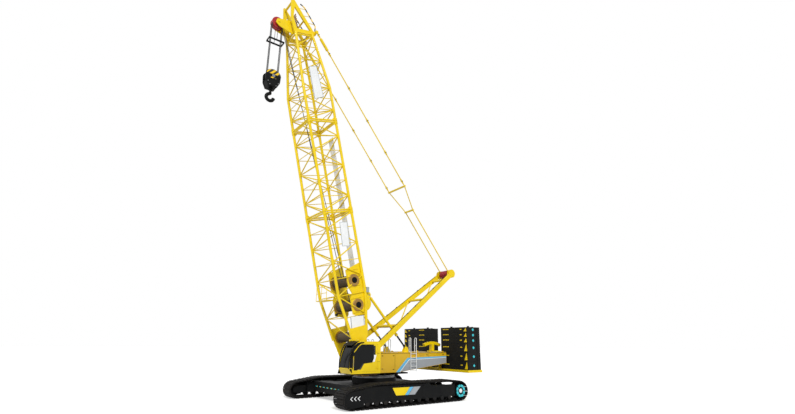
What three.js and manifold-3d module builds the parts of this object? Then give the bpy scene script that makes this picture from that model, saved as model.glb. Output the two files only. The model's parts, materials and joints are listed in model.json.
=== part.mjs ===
// Lattice-boom crawler crane, standing parked with its boom raised and its hook hanging free.
// Millimetres, +X forward, +Y to the machine's left, +Z up. The slewing axis is built at
// x = y = 0 with the ground at z = 0; the finished machine is then centred fore and aft.
import * as THREE from 'three';
import * as BufferGeometryUtils from 'three/addons/utils/BufferGeometryUtils.js';
import Module from 'manifold-3d';

const wasm = await Module();
wasm.setup();

// ---------------------------------------------------------------- driving dimensions
const SEAT_GAP = 0.3;              // gap left between two pieces that rest on each other
const RUN_GAP = 6;                 // clearance round a piece that turns or slides
const PIN_GAP = 0.5;               // clearance between a pin's edges and the flats of its hole

// crawlers
const TRACK_GAUGE = 6960;          // between the middles of the two tracks
const SHOE_WIDTH = 1240;
const TRACK_TOP = 1320;            // top run over the carrier rollers
const SHOE_THICKNESS = 62;
const LINK_THICKNESS = 98;
const LINK_WIDTH = 470;
const SHOE_COUNT = 66;
const IDLER_X = 4170;
const IDLER_WRAP = 540;            // outside radius of the track round the idler
const SPROCKET_X = -4100;
const SPROCKET_WRAP = 615;
const RISE_FRONT_X = 2450;         // where the top run levels out behind the idler
const RISE_REAR_X = -3350;
const WHEEL_WIDTH = 430;
const AXLE_RADIUS = 105;
const WHEEL_SIDES = 20;
const HUB_RADIUS = 385;
const ROLLER_RADIUS = 130;
const ROLLER_COUNT = 12;
const CARRIER_RADIUS = 80;
const CARRIER_XS = [1900, -500, -2700];
const SIDE_FRAME_FRONT = 3330;
const SIDE_FRAME_REAR = -3180;
const SIDE_FRAME_BOTTOM = 340;
const SIDE_FRAME_TOP = 1010;
const SIDE_FRAME_HALF = 330;       // half width of the box between the side plates
const SIDE_PLATE_OUT = 545;        // outer plate's face from the track's middle
const FORK_THICKNESS = 70;

// carbody and slewing ring
const CARBODY_HALF_LENGTH = 2950;
const CARBODY_BOTTOM = 430;
const CARBODY_TOP = 1070;
const AXLE_BEAM_WIDTH = 950;
const WAIST_HALF_WIDTH = 1750;
const PEDESTAL_RADIUS = 1480;
const PEDESTAL_TOP = 1390;
const RING_RADIUS = 1400;
const RING_HEIGHT = 160;

// widths that follow the boom's
const BOOM_WIDTH = 2500;
const BACKSTOP_Y = BOOM_WIDTH / 2 - 140;   // the backstops stand just inside the boom's chords

// revolving frame and its housings
const DECK_TOP = 2950;
const BODY_HALF_WIDTH = BACKSTOP_Y + 400;  // the housings' decks carry the backstops' feet
const BODY_FRONT = 560;
const BODY_REAR = -5230;
const BODY_KICK_X = -900;          // the sides' lower edge rises behind this point
const BODY_REAR_BOTTOM = 2180;
const CORRIDOR_HALF = 760;         // half width of the well between the two housings
const FRAME_FRONT = 2050;
const FRAME_SIDE_OUT = 750;        // outer face of the centre frame's side plates
const HOUSING_INSIDE = FRAME_SIDE_OUT + SEAT_GAP;
const HOUSE_WALL = 60;
const ARM_HEIGHT = 150;            // cross arms that the housings stand on

// boom
const BOOM_FOOT_X = 1600;
const BOOM_FOOT_Z = 2170;
const BOOM_ANGLE = 76.2;           // degrees above the horizontal
const BOOM_DEPTH = 2080;
const CHORD_RADIUS = 95;
const LACING_RADIUS = 42;
const FOOT_BEND = 4550;            // along the boom, where the foot's taper ends
const FOOT_SECTION = 10080;
const MIDDLE_SECTION = 6400;
const TOP_BEND = 19000;            // where the top section starts to taper
const BOOM_LENGTH = 23300;         // foot pin to the head frame
const HEAD_WIDTH = 1500;
const HEAD_DEPTH = 1300;
const LUG_LENGTH = 130;            // square lugs on the chords' upper ends, which carry the head
const LUG_REACH = 20;
const LUG_HALF = 85;
const FOOT_WIDTH = 2560;
const FOOT_DEPTH = 430;
const FOOT_LEG_HALF = 95;           // half thickness of the foot's two plate legs
const FOOT_EAR_OUT = FOOT_WIDTH / 2 + 175;  // outer face of the ears that hold the foot pins
const SECTION_GAP = 0.6;
const BOOM_PIN_RADIUS = 75;
const DRUM_SHAFT_RADIUS = 80;
const DRUM_ALONG = [5400, 3780];   // the two hoist winches, upper then lower
const DRUM_OUT = 330;
const LUFFING_ALONG = 1800;        // the luffing winch, between the foot's legs
const DRUM_SIDES = 18;
const LACING_INSET = 150;          // from a section's end to its first lacing joint

// mast, pendants and backstops
const MAST_FOOT_X = 1150;
const MAST_FOOT_Z = 3080;
const MAST_TIP_X = -6750;
const MAST_TIP_Z = 8850;
const MAST_FOOT_Y = BACKSTOP_Y + 480;      // the mast's legs stand outside the backstops
const MAST_EAR_OUT = MAST_FOOT_Y - 130;    // outer face of the ears that hold its foot pins
const MAST_TIP_Y = 700;
const MAST_LEG_DEPTH = 330;
const MAST_LEG_WIDTH = 190;
const MAST_PIN_RADIUS = 62;
const TIP_PIN_RADIUS = 70;
const PENDANT_Y = 1000;
const MAST_CHEEK_IN = 150;          // the tip's inner cheeks stand this far inside the legs
const MAST_CHEEK_HALF = 30;
const TIP_EYE_HALF = 50;
const PENDANT_SIDE_GAP = 15;       // between a pendant's eye and the lug or cheek beside it
// the pendants draw in between their spreaders, so that their eyes fit inside the cheeks
const PENDANT_TIP_Y = MAST_TIP_Y - MAST_CHEEK_IN - MAST_CHEEK_HALF - PENDANT_SIDE_GAP - TIP_EYE_HALF;
const BACKSTOP_PIN_RADIUS = 55;
const BACKSTOP_EYE_HALF = 60;
const BACKSTOP_TOP = [1330, 6620];     // x and z of the pin on the boom
const BACKSTOP_BOTTOM = [-1800, 3230]; // x and z of the pin on the deck

// counterweight
const STACK_FRONT = -5340;
const STACK_DEPTH = 1240;
const STACK_INNER_Y = 850;
const STACK_WIDTH = 2710;
const TRAY_BOTTOM = 1640;
const TRAY_THICKNESS = 160;
const SLAB_HEIGHTS = [590, 590, 590, 366, 366, 366];
const SLAB_SEAM = 14;

// cab
const CAB_INNER_Y = 1580;
const CAB_WIDTH = 1180;
const CAB_REAR = 1400;
const CAB_LENGTH = 2250;
const CAB_BOTTOM = 1800;
const CAB_TOP = 3640;
const CAB_WALL = 60;

// ---------------------------------------------------------------- shaping helpers
function toSolid(geometry) {
  const bare = geometry.clone();
  bare.deleteAttribute('normal');
  bare.deleteAttribute('uv');
  const merged = BufferGeometryUtils.mergeVertices(bare, 1e-3);
  return new wasm.Manifold(new wasm.Mesh({
    numProp: 3,
    vertProperties: new Float32Array(merged.attributes.position.array),
    triVerts: new Uint32Array(merged.index.array),
  }));
}

function toGeometry(solid) {
  const mesh = solid.getMesh();
  const geometry = new THREE.BufferGeometry();
  geometry.setAttribute('position', new THREE.BufferAttribute(new Float32Array(mesh.vertProperties), 3));
  geometry.setIndex(new THREE.BufferAttribute(new Uint32Array(mesh.triVerts), 1));
  return geometry;
}

// Joins solids into one, and fills the small sealed pockets left where bars cross.
function joined(solids) {
  const whole = solids.reduce((sum, solid) => sum.add(solid));
  const filled = whole.decompose().filter((shell) => shell.volume() > 0);
  return filled.reduce((sum, shell) => sum.add(shell));
}
const mirrored = (make) => [make(1), make(-1)];

function block(x0, x1, y0, y1, z0, z1) {
  const box = new THREE.BoxGeometry(Math.abs(x1 - x0), Math.abs(y1 - y0), Math.abs(z1 - z0));
  box.translate((x0 + x1) / 2, (y0 + y1) / 2, (z0 + z1) / 2);
  return toSolid(box);
}

// A flat outline of [x, z] points carried along Y from y0 to y1.
function plate(points, y0, y1) {
  const shape = new THREE.Shape(points.map(([x, z]) => new THREE.Vector2(x, z)));
  const slab = new THREE.ExtrudeGeometry(shape, { depth: Math.abs(y1 - y0), bevelEnabled: false });
  slab.rotateX(Math.PI / 2);
  slab.translate(0, Math.max(y0, y1), 0);
  return toSolid(slab);
}

// A round bar between two points.
function bar(from, to, radius, sides = 8, firstEdge = 0) {
  const start = new THREE.Vector3(...from);
  const along = new THREE.Vector3(...to).sub(start);
  const rod = new THREE.CylinderGeometry(radius, radius, along.length(), sides, 1, false, firstEdge);
  const up = new THREE.Vector3(0, 1, 0);
  const turn = new THREE.Quaternion().setFromUnitVectors(up, along.clone().normalize());
  rod.applyQuaternion(turn);
  const middle = start.add(along.multiplyScalar(0.5));
  rod.translate(middle.x, middle.y, middle.z);
  return toSolid(rod);
}

const PIN_SIDES = 14;
// Radius of a faceted hole whose flats clear a round pin of the given radius.
const boredFor = (radius, sides = PIN_SIDES) => (radius + PIN_GAP) / Math.cos(Math.PI / sides);
// A hole along Y for a pin, with its flats turned to the pin's edges.
const holeY = (x, z, y0, y1, pinRadius) => bar([x, y0, z], [x, y1, z], boredFor(pinRadius), PIN_SIDES,
  Math.PI / PIN_SIDES);
const barY = (x, z, y0, y1, radius, sides = PIN_SIDES) => bar([x, y0, z], [x, y1, z], radius, sides);

// A wheel turned from a [radius, y] profile about an axis along Y through (x, z).
function turnedY(profile, x, z, sides = 32) {
  const points = profile.map(([r, y]) => new THREE.Vector2(r, y));
  if (THREE.ShapeUtils.area(points) < 0) points.reverse();
  points.push(points[0].clone());
  const lathe = new THREE.LatheGeometry(points, sides);
  lathe.translate(x, 0, z);
  return toSolid(lathe);
}

function finish(color, roughness, metalness = 0.2) {
  return new THREE.MeshStandardMaterial({ color, roughness, metalness });
}

const YELLOW = finish(0xf2c81a, 0.42);
const DEEP_YELLOW = finish(0xd9a91a, 0.45);
const BLACK = finish(0x1c1d1f, 0.6);
const DARK = finish(0x2b2c2e, 0.7);
const BROWN = finish(0x8a6430, 0.7);
const TEAL = finish(0x39c3c8, 0.5);
const GLASS = finish(0x20262a, 0.1);
const RED = finish(0xc2261c, 0.5);
const PALE = finish(0xd8dadc, 0.5);
const STEEL = finish(0x6f7376, 0.45, 0.7);

const machine = new THREE.Group();
const lower = new THREE.Group();
const upper = new THREE.Group();
machine.add(lower, upper);

function place(group, name, solid, material) {
  const mesh = new THREE.Mesh(toGeometry(solid), material);
  mesh.name = name;
  group.add(mesh);
  return mesh;
}

// ---------------------------------------------------------------- tracks
// The loop is the wrap round the two end wheels, the flat bottom run and a raised top run.
// It is followed at a given inset from the outside, as a closed list of [x, z] points.
function trackPath(inset) {
  const path = new THREE.Path();
  const front = IDLER_WRAP - inset;
  const rear = SPROCKET_WRAP - inset;
  const top = TRACK_TOP - inset;
  // tangent from a raised corner down to the end wheel, from the wheel's centre and radius
  const touch = (cx, cz, r, px, pz) => {
    const reach = Math.hypot(px - cx, pz - cz);
    return { to: Math.atan2(pz - cz, px - cx), half: Math.acos(r / reach) };
  };
  const frontTouch = touch(IDLER_X, IDLER_WRAP, front, RISE_FRONT_X, top);
  const rearTouch = touch(SPROCKET_X, SPROCKET_WRAP, rear, RISE_REAR_X, top);
  path.moveTo(IDLER_X, inset);
  path.absarc(IDLER_X, IDLER_WRAP, front, -Math.PI / 2, frontTouch.to - frontTouch.half, false);
  path.lineTo(RISE_FRONT_X, top);
  path.lineTo(RISE_REAR_X, top);
  path.absarc(SPROCKET_X, SPROCKET_WRAP, rear, rearTouch.to + rearTouch.half, 1.5 * Math.PI, false);
  path.lineTo(IDLER_X, inset);
  return path;
}

// The outer outline steps in at each gap between two shoes.
function shoeOutline() {
  const outer = trackPath(0).getSpacedPoints(SHOE_COUNT * 10);
  const inner = trackPath(SHOE_THICKNESS * 0.6).getSpacedPoints(SHOE_COUNT * 10);
  const outline = [];
  for (let shoe = 0; shoe < SHOE_COUNT; shoe += 1) {
    const start = shoe * 10;
    outline.push(outer[start], outer[start + 8], inner[start + 9]);
  }
  return outline;
}

function loopSolid(outline, hole, width, y) {
  const shape = new THREE.Shape(outline);
  shape.holes.push(new THREE.Path(hole));
  const ring = new THREE.ExtrudeGeometry(shape, { depth: width, bevelEnabled: false });
  ring.rotateX(Math.PI / 2);
  ring.translate(0, y + width / 2, 0);
  return toSolid(ring);
}

const loopPoints = (inset) => trackPath(inset).getPoints(12).slice(0, -1);
const TRACK_THICKNESS = SHOE_THICKNESS + LINK_THICKNESS;

function makeTrack(y) {
  const shoes = loopSolid(shoeOutline(), loopPoints(SHOE_THICKNESS), SHOE_WIDTH, y);
  const links = loopSolid(loopPoints(SHOE_THICKNESS - 10), loopPoints(TRACK_THICKNESS), LINK_WIDTH, y);
  return shoes.add(links);
}

function makeSideFrame(side) {
  const y = side * TRACK_GAUGE / 2;
  const floor = TRACK_THICKNESS;
  const pieces = [];
  // the box beam between the wheels
  pieces.push(block(SIDE_FRAME_REAR, SIDE_FRAME_FRONT, y - SIDE_FRAME_HALF, y + SIDE_FRAME_HALF,
    SIDE_FRAME_BOTTOM, SIDE_FRAME_TOP));
  // side plates, lower than the beam's top and bevelled towards the wheels
  const skirt = [
    [SIDE_FRAME_REAR - 150, SIDE_FRAME_BOTTOM + 60], [SIDE_FRAME_FRONT + 60, SIDE_FRAME_BOTTOM + 30],
    [SIDE_FRAME_FRONT + 60, SIDE_FRAME_TOP - 210], [RISE_FRONT_X, SIDE_FRAME_TOP - 20],
    [SIDE_FRAME_REAR + 250, SIDE_FRAME_TOP - 20], [SIDE_FRAME_REAR - 150, SIDE_FRAME_TOP - 160],
  ];
  for (const face of [1, -1]) {
    const inside = y + face * (SIDE_FRAME_HALF - 5);
    const outside = y + face * SIDE_PLATE_OUT;
    pieces.push(plate(skirt, inside, outside));
  }
  // idler yoke: two fork arms and the axle between them
  const forkInside = WHEEL_WIDTH / 2 + RUN_GAP + 14;
  for (const face of [1, -1]) {
    const near = y + face * forkInside;
    pieces.push(plate([
      [SIDE_FRAME_FRONT - 200, 360], [IDLER_X, 330], [IDLER_X + 170, 420], [IDLER_X + 170, 660],
      [IDLER_X, 760], [SIDE_FRAME_FRONT - 200, 820],
    ], near, near + face * FORK_THICKNESS));
    pieces.push(barY(IDLER_X, IDLER_WRAP, near, near + face * (FORK_THICKNESS + 60), 165, 12));
  }
  pieces.push(barY(IDLER_X, IDLER_WRAP, y - forkInside - 20, y + forkInside + 20, AXLE_RADIUS, 14));
  // final drive: an arm on the inner side and the stub that the sprocket turns on
  const armOut = y - side * (WHEEL_WIDTH / 2 + RUN_GAP + 14);
  const armIn = y - side * SIDE_PLATE_OUT;
  pieces.push(plate([
    [SIDE_FRAME_REAR + 100, 400], [SPROCKET_X, 330], [SPROCKET_X - 230, 470], [SPROCKET_X - 230, 800],
    [SPROCKET_X, 890], [SIDE_FRAME_REAR + 100, 930],
  ], armOut, armIn));
  pieces.push(barY(SPROCKET_X, SPROCKET_WRAP, armIn + side * 5, y - side * (SIDE_PLATE_OUT + 60), 270, 14));
  pieces.push(barY(SPROCKET_X, SPROCKET_WRAP, armOut - side * 20, y + side * 330, AXLE_RADIUS, 14));
  // track rollers under the beam, each in the beam's underside
  const first = SIDE_FRAME_FRONT - 60;
  const last = SIDE_FRAME_REAR + 60;
  for (let i = 0; i < ROLLER_COUNT; i += 1) {
    const x = first + (last - first) * i / (ROLLER_COUNT - 1);
    pieces.push(barY(x, floor + SEAT_GAP + ROLLER_RADIUS, y - 200, y + 200, ROLLER_RADIUS, 8));
    pieces.push(block(x - 50, x + 50, y - 260, y + 260, floor + ROLLER_RADIUS, SIDE_FRAME_BOTTOM + 20));
  }
  // carrier rollers under the top run
  for (const x of CARRIER_XS) {
    const z = TRACK_TOP - TRACK_THICKNESS - SEAT_GAP - CARRIER_RADIUS;
    pieces.push(barY(x, z, y - 200, y + 200, CARRIER_RADIUS, 8));
    pieces.push(block(x - 60, x + 60, y - 150, y + 150, SIDE_FRAME_TOP - 20, z));
  }
  return joined(pieces);
}

// Spoked end wheel with a rim, web and hub.
function makeWheel(x, z, y, radius) {
  const half = WHEEL_WIDTH / 2;
  const bore = boredFor(AXLE_RADIUS, WHEEL_SIDES);
  return turnedY([
    [bore, y - half], [bore + 120, y - half], [bore + 150, y - 120], [radius - 110, y - 120],
    [radius - 90, y - half], [radius, y - half], [radius, y + half], [radius - 90, y + half],
    [radius - 110, y + 120], [bore + 150, y + 120], [bore + 120, y + half], [bore, y + half],
  ], x, z, WHEEL_SIDES);
}

for (const side of [1, -1]) {
  const hand = side > 0 ? 'left' : 'right';
  const y = side * TRACK_GAUGE / 2;
  place(lower, `track_${hand}`, makeTrack(y), DARK);
  place(lower, `crawler_frame_${hand}`, makeSideFrame(side), BLACK);
  const idlerRadius = IDLER_WRAP - TRACK_THICKNESS - RUN_GAP;
  place(lower, `idler_${hand}`, makeWheel(IDLER_X, IDLER_WRAP, y, idlerRadius), DARK);
  // the sprocket carries a drive hub whose ring shows on the outer side
  const sprocketRadius = SPROCKET_WRAP - TRACK_THICKNESS - RUN_GAP;
  const hubStart = y + side * (WHEEL_WIDTH / 2 - 20);
  const hubEnd = y + side * (SHOE_WIDTH / 2 - 70);
  const bore = boredFor(AXLE_RADIUS, WHEEL_SIDES);
  const hub = turnedY([[bore, hubStart], [330, hubStart], [HUB_RADIUS, (hubStart + hubEnd) / 2],
    [HUB_RADIUS, hubEnd - side * 20], [HUB_RADIUS - 25, hubEnd], [bore, hubEnd]],
  SPROCKET_X, SPROCKET_WRAP, WHEEL_SIDES);
  const cap = barY(SPROCKET_X, SPROCKET_WRAP, hubEnd - side * 60, hubEnd + side * 30, 170, 14);
  const wheel = makeWheel(SPROCKET_X, SPROCKET_WRAP, y, sprocketRadius);
  place(lower, `sprocket_${hand}`, joined([wheel, hub, cap]), TEAL);
}

// ---------------------------------------------------------------- carbody
{
  const reach = TRACK_GAUGE / 2 - SIDE_PLATE_OUT - SEAT_GAP;
  const beam = (x0, x1) => block(x0, x1, -reach, reach, CARBODY_BOTTOM, CARBODY_TOP);
  const inner = CARBODY_HALF_LENGTH - AXLE_BEAM_WIDTH;
  const solid = joined([
    beam(inner, CARBODY_HALF_LENGTH),
    beam(-CARBODY_HALF_LENGTH, -inner),
    block(-inner - 5, inner + 5, -WAIST_HALF_WIDTH, WAIST_HALF_WIDTH, CARBODY_BOTTOM, CARBODY_TOP),
    bar([0, 0, CARBODY_TOP - 5], [0, 0, PEDESTAL_TOP], PEDESTAL_RADIUS, 40),
  ]);
  place(lower, 'carbody', solid, BLACK);
  const ringBase = PEDESTAL_TOP + SEAT_GAP;
  place(lower, 'slew_ring', bar([0, 0, ringBase], [0, 0, ringBase + RING_HEIGHT], RING_RADIUS, 48), STEEL);
}
const RING_TOP = PEDESTAL_TOP + SEAT_GAP + RING_HEIGHT;

// ---------------------------------------------------------------- revolving frame and housings
const frameBottom = RING_TOP + SEAT_GAP;
{
  // The centre frame: a floor over the ring, two upright side plates along the well, and the
  // tail that carries the counterweight tray.
  const side = (sign) => plate([
    [FRAME_FRONT - 350, frameBottom + 20], [FRAME_FRONT, frameBottom + 250], [FRAME_FRONT, BOOM_FOOT_Z + 60],
    [FRAME_FRONT - 250, BOOM_FOOT_Z + 260], [MAST_FOOT_X + 100, DECK_TOP - 120],
    [BODY_REAR, DECK_TOP - 120], [BODY_REAR, BODY_REAR_BOTTOM], [BODY_KICK_X, frameBottom + 20],
  ], sign * (FRAME_SIDE_OUT - 80), sign * FRAME_SIDE_OUT);
  const footEars = (sign) => {
    // boom foot ears: an outer and an inner plate with the pin through both
    const middle = sign * FOOT_WIDTH / 2;
    const ear = (near, far) => plate([
      [BODY_FRONT + 40, frameBottom + 20], [FRAME_FRONT - 60, frameBottom + 20],
      [BOOM_FOOT_X + 210, BOOM_FOOT_Z], [BOOM_FOOT_X + 110, BOOM_FOOT_Z + 190],
      [BOOM_FOOT_X - 110, BOOM_FOOT_Z + 190], [BODY_FRONT + 40, BOOM_FOOT_Z + 120],
    ], near, far);
    return joined([
      ear(middle - sign * 190, middle - sign * 115),
      ear(middle + sign * 115, sign * FOOT_EAR_OUT),
      barY(BOOM_FOOT_X, BOOM_FOOT_Z, middle - sign * 195, middle + sign * 180, BOOM_PIN_RADIUS),
    ]);
  };
  const mastEar = (sign) => joined([
    plate([
      [MAST_FOOT_X - 420, DECK_TOP - 820], [MAST_FOOT_X + 230, DECK_TOP - 820],
      [MAST_FOOT_X + 150, MAST_FOOT_Z + 60], [MAST_FOOT_X, MAST_FOOT_Z + 150],
      [MAST_FOOT_X - 150, MAST_FOOT_Z + 60],
    ], sign * (MAST_EAR_OUT - 60), sign * MAST_EAR_OUT),
    barY(MAST_FOOT_X, MAST_FOOT_Z, sign * (MAST_EAR_OUT - 50), sign * (MAST_FOOT_Y + 95), MAST_PIN_RADIUS),
  ]);
  const floorPlate = block(-2300, FRAME_FRONT - 350, -FRAME_SIDE_OUT, FRAME_SIDE_OUT,
    frameBottom, frameBottom + 90);
  const frontBeam = block(BODY_FRONT + 60, FRAME_FRONT - 360, -FOOT_WIDTH / 2 - 170, FOOT_WIDTH / 2 + 170,
    frameBottom, frameBottom + 220);
  const tail = block(BODY_REAR, BODY_REAR + 700, -FRAME_SIDE_OUT + 30, FRAME_SIDE_OUT - 30,
    BODY_REAR_BOTTOM, BODY_REAR_BOTTOM + 320);
  const well = block(-3900, -1500, -FRAME_SIDE_OUT + 30, FRAME_SIDE_OUT - 30, DECK_TOP - 220, DECK_TOP - 130);
  // cross arms from the centre frame out to the two housings
  const arm = (x) => block(x, x + 160, -BODY_HALF_WIDTH + 40, BODY_HALF_WIDTH - 40,
    frameBottom, frameBottom + ARM_HEIGHT);
  const solid = joined([side(1), side(-1), footEars(1), footEars(-1), mastEar(1), mastEar(-1), floorPlate,
    frontBeam, tail, well, arm(-900), arm(60),
    block(MAST_FOOT_X - 420, MAST_FOOT_X - 120, -MAST_EAR_OUT + 10, MAST_EAR_OUT - 10,
      DECK_TOP - 840, DECK_TOP - 700)]);
  place(upper, 'revolving_frame', solid, BLACK);
}

// Side housings: folded shells that hang over the frame's arms, open underneath. Their
// lower edge rises towards the rear.
function housingOutline(inset) {
  const bottom = frameBottom + ARM_HEIGHT + SEAT_GAP;
  return [
    [BODY_REAR + inset, BODY_REAR_BOTTOM + (inset ? -60 : 0)], [BODY_KICK_X, bottom + (inset ? -60 : 0)],
    [BODY_FRONT - inset, bottom + (inset ? -60 : 0)], [BODY_FRONT - inset, DECK_TOP - inset],
    [BODY_REAR + inset, DECK_TOP - inset],
  ];
}

function makeHousing(sign) {
  const inside = sign * HOUSING_INSIDE;
  const outside = sign * BODY_HALF_WIDTH;
  const shell = plate(housingOutline(0), inside, outside);
  const hollow = plate(housingOutline(HOUSE_WALL), inside + sign * HOUSE_WALL, outside - sign * HOUSE_WALL);
  return shell.subtract(hollow);
}

place(upper, 'machinery_house_left', makeHousing(1), DEEP_YELLOW);
place(upper, 'machinery_house_right', makeHousing(-1), DEEP_YELLOW);

// A plain diesel block standing on the frame's arms inside the right-hand housing.
{
  const floor = frameBottom + ARM_HEIGHT + SEAT_GAP;
  const inside = -(HOUSING_INSIDE + HOUSE_WALL + 40);
  const outside = -(BODY_HALF_WIDTH - HOUSE_WALL - 40);
  place(upper, 'engine_block', block(-1050, 330, inside, outside, floor, floor + 900), STEEL);
}

// ---------------------------------------------------------------- counterweight
{
  const outer = STACK_INNER_Y + STACK_WIDTH;
  const top = TRAY_BOTTOM + TRAY_THICKNESS;
  const rear = STACK_FRONT - STACK_DEPTH;
  // the tray hangs on two hangers from the frame's tail
  const hanger = (sign) => plate([
    [BODY_REAR - 420, top - 10], [BODY_REAR - SEAT_GAP, top - 10], [BODY_REAR - SEAT_GAP, DECK_TOP - 200],
    [BODY_REAR - 200, DECK_TOP - 200],
  ], sign * (CORRIDOR_HALF - 170), sign * (CORRIDOR_HALF - 60));
  const tray = joined([
    block(rear - 60, STACK_FRONT + 60, -outer - 50, outer + 50, TRAY_BOTTOM, top),
    block(STACK_FRONT - 200, BODY_REAR - SEAT_GAP, -CORRIDOR_HALF, CORRIDOR_HALF, TRAY_BOTTOM, top),
    hanger(1), hanger(-1),
  ]);
  place(upper, 'counterweight_tray', tray, YELLOW);
  // each stack is six slabs, three thick and three thin, that key into one another; a narrow
  // seam runs round between them, and two lifting lugs stand on the top one
  for (const sign of [1, -1]) {
    const hand = sign > 0 ? 'left' : 'right';
    const near = sign * STACK_INNER_Y;
    const far = sign * outer;
    let z = top + SEAT_GAP;
    const slabs = SLAB_HEIGHTS.map((height) => {
      const slab = block(rear, STACK_FRONT, near, far, z, z + height - SLAB_SEAM);
      z += height;
      return slab;
    });
    const core = block(rear + SLAB_SEAM, STACK_FRONT - SLAB_SEAM, near + sign * SLAB_SEAM,
      far - sign * SLAB_SEAM, top + SEAT_GAP + 20, z - SLAB_SEAM - 20);
    const lugs = [STACK_INNER_Y + 500, outer - 500].map((y) => block(rear + 560, rear + 680, sign * y - 60,
      sign * y + 60, z - SLAB_SEAM - 5, z + 80));
    place(upper, `counterweight_stack_${hand}`, joined([core, ...slabs, ...lugs]), BLACK);
  }
}

// ---------------------------------------------------------------- operator's cab
const CAB_OUTER_Y = CAB_INNER_Y + CAB_WIDTH;
const CAB_NOSE = CAB_REAR + CAB_LENGTH;
const GLASS_THICKNESS = 24;
const DOOR_REAR = CAB_REAR + 260;
const DOOR_FRONT = CAB_NOSE - 330;
const DOOR_BOTTOM = CAB_BOTTOM + 110;
const HINGE_RADIUS = 22;
const KNUCKLE_LENGTH = 140;
const KNUCKLE_ZS = [CAB_BOTTOM + 300, CAB_TOP - 620];

// Side outline of the cab: upright back, flat floor, a chin, and a windscreen that leans back
// along one curve from the chin to the roof.
function cabOutline(inset) {
  const shape = new THREE.Path();
  shape.moveTo(CAB_REAR + inset, CAB_BOTTOM + inset);
  shape.lineTo(CAB_NOSE - 170 - inset, CAB_BOTTOM + inset);
  shape.lineTo(CAB_NOSE - inset, CAB_BOTTOM + 300);
  shape.bezierCurveTo(
    CAB_NOSE - 10 - inset, CAB_BOTTOM + 900, CAB_NOSE - 190 - inset, CAB_TOP - 330,
    CAB_NOSE - 560 - inset * 0.6, CAB_TOP - 50 - inset,
  );
  shape.lineTo(CAB_NOSE - 760 - inset * 0.5, CAB_TOP - inset);
  shape.lineTo(CAB_REAR + 120 + inset, CAB_TOP - inset);
  shape.lineTo(CAB_REAR + inset, CAB_TOP - 120 - inset);
  return shape.getPoints(8).map((p) => [p.x, p.y]);
}

const windowOutline = [
  [DOOR_REAR + 120, CAB_TOP - 250], [DOOR_REAR + 110, CAB_BOTTOM + 980],
  [DOOR_REAR + 320, CAB_BOTTOM + 700], [DOOR_REAR + 900, CAB_BOTTOM + 610],
  [DOOR_REAR + 1150, CAB_BOTTOM + 230], [DOOR_FRONT - 130, CAB_BOTTOM + 230],
  [DOOR_FRONT - 70, CAB_BOTTOM + 560], [DOOR_FRONT - 420, CAB_TOP - 330], [DOOR_FRONT - 560, CAB_TOP - 250],
];
const doorOutline = [
  [DOOR_REAR, DOOR_BOTTOM], [DOOR_FRONT, DOOR_BOTTOM], [DOOR_FRONT + 50, CAB_BOTTOM + 600],
  [DOOR_FRONT - 330, CAB_TOP - 290], [DOOR_FRONT - 520, CAB_TOP - 170], [DOOR_REAR, CAB_TOP - 170],
];

// Grow or shrink a closed [x, z] outline about its middle by a distance at its corners.
function offsetOutline(points, distance) {
  const count = points.length;
  return points.map(([x, z], i) => {
    const [px, pz] = points[(i + count - 1) % count];
    const [nx, nz] = points[(i + 1) % count];
    const before = new THREE.Vector2(x - px, z - pz).normalize();
    const after = new THREE.Vector2(nx - x, nz - z).normalize();
    const turn = Math.sign(THREE.ShapeUtils.area(points.map(([a, b]) => new THREE.Vector2(a, b))));
    const normal = new THREE.Vector2(before.y + after.y, -before.x - after.x).normalize();
    const reach = distance / Math.max(0.5, normal.dot(new THREE.Vector2(before.y, -before.x)));
    return [x + normal.x * reach * turn, z + normal.y * reach * turn];
  });
}

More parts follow.
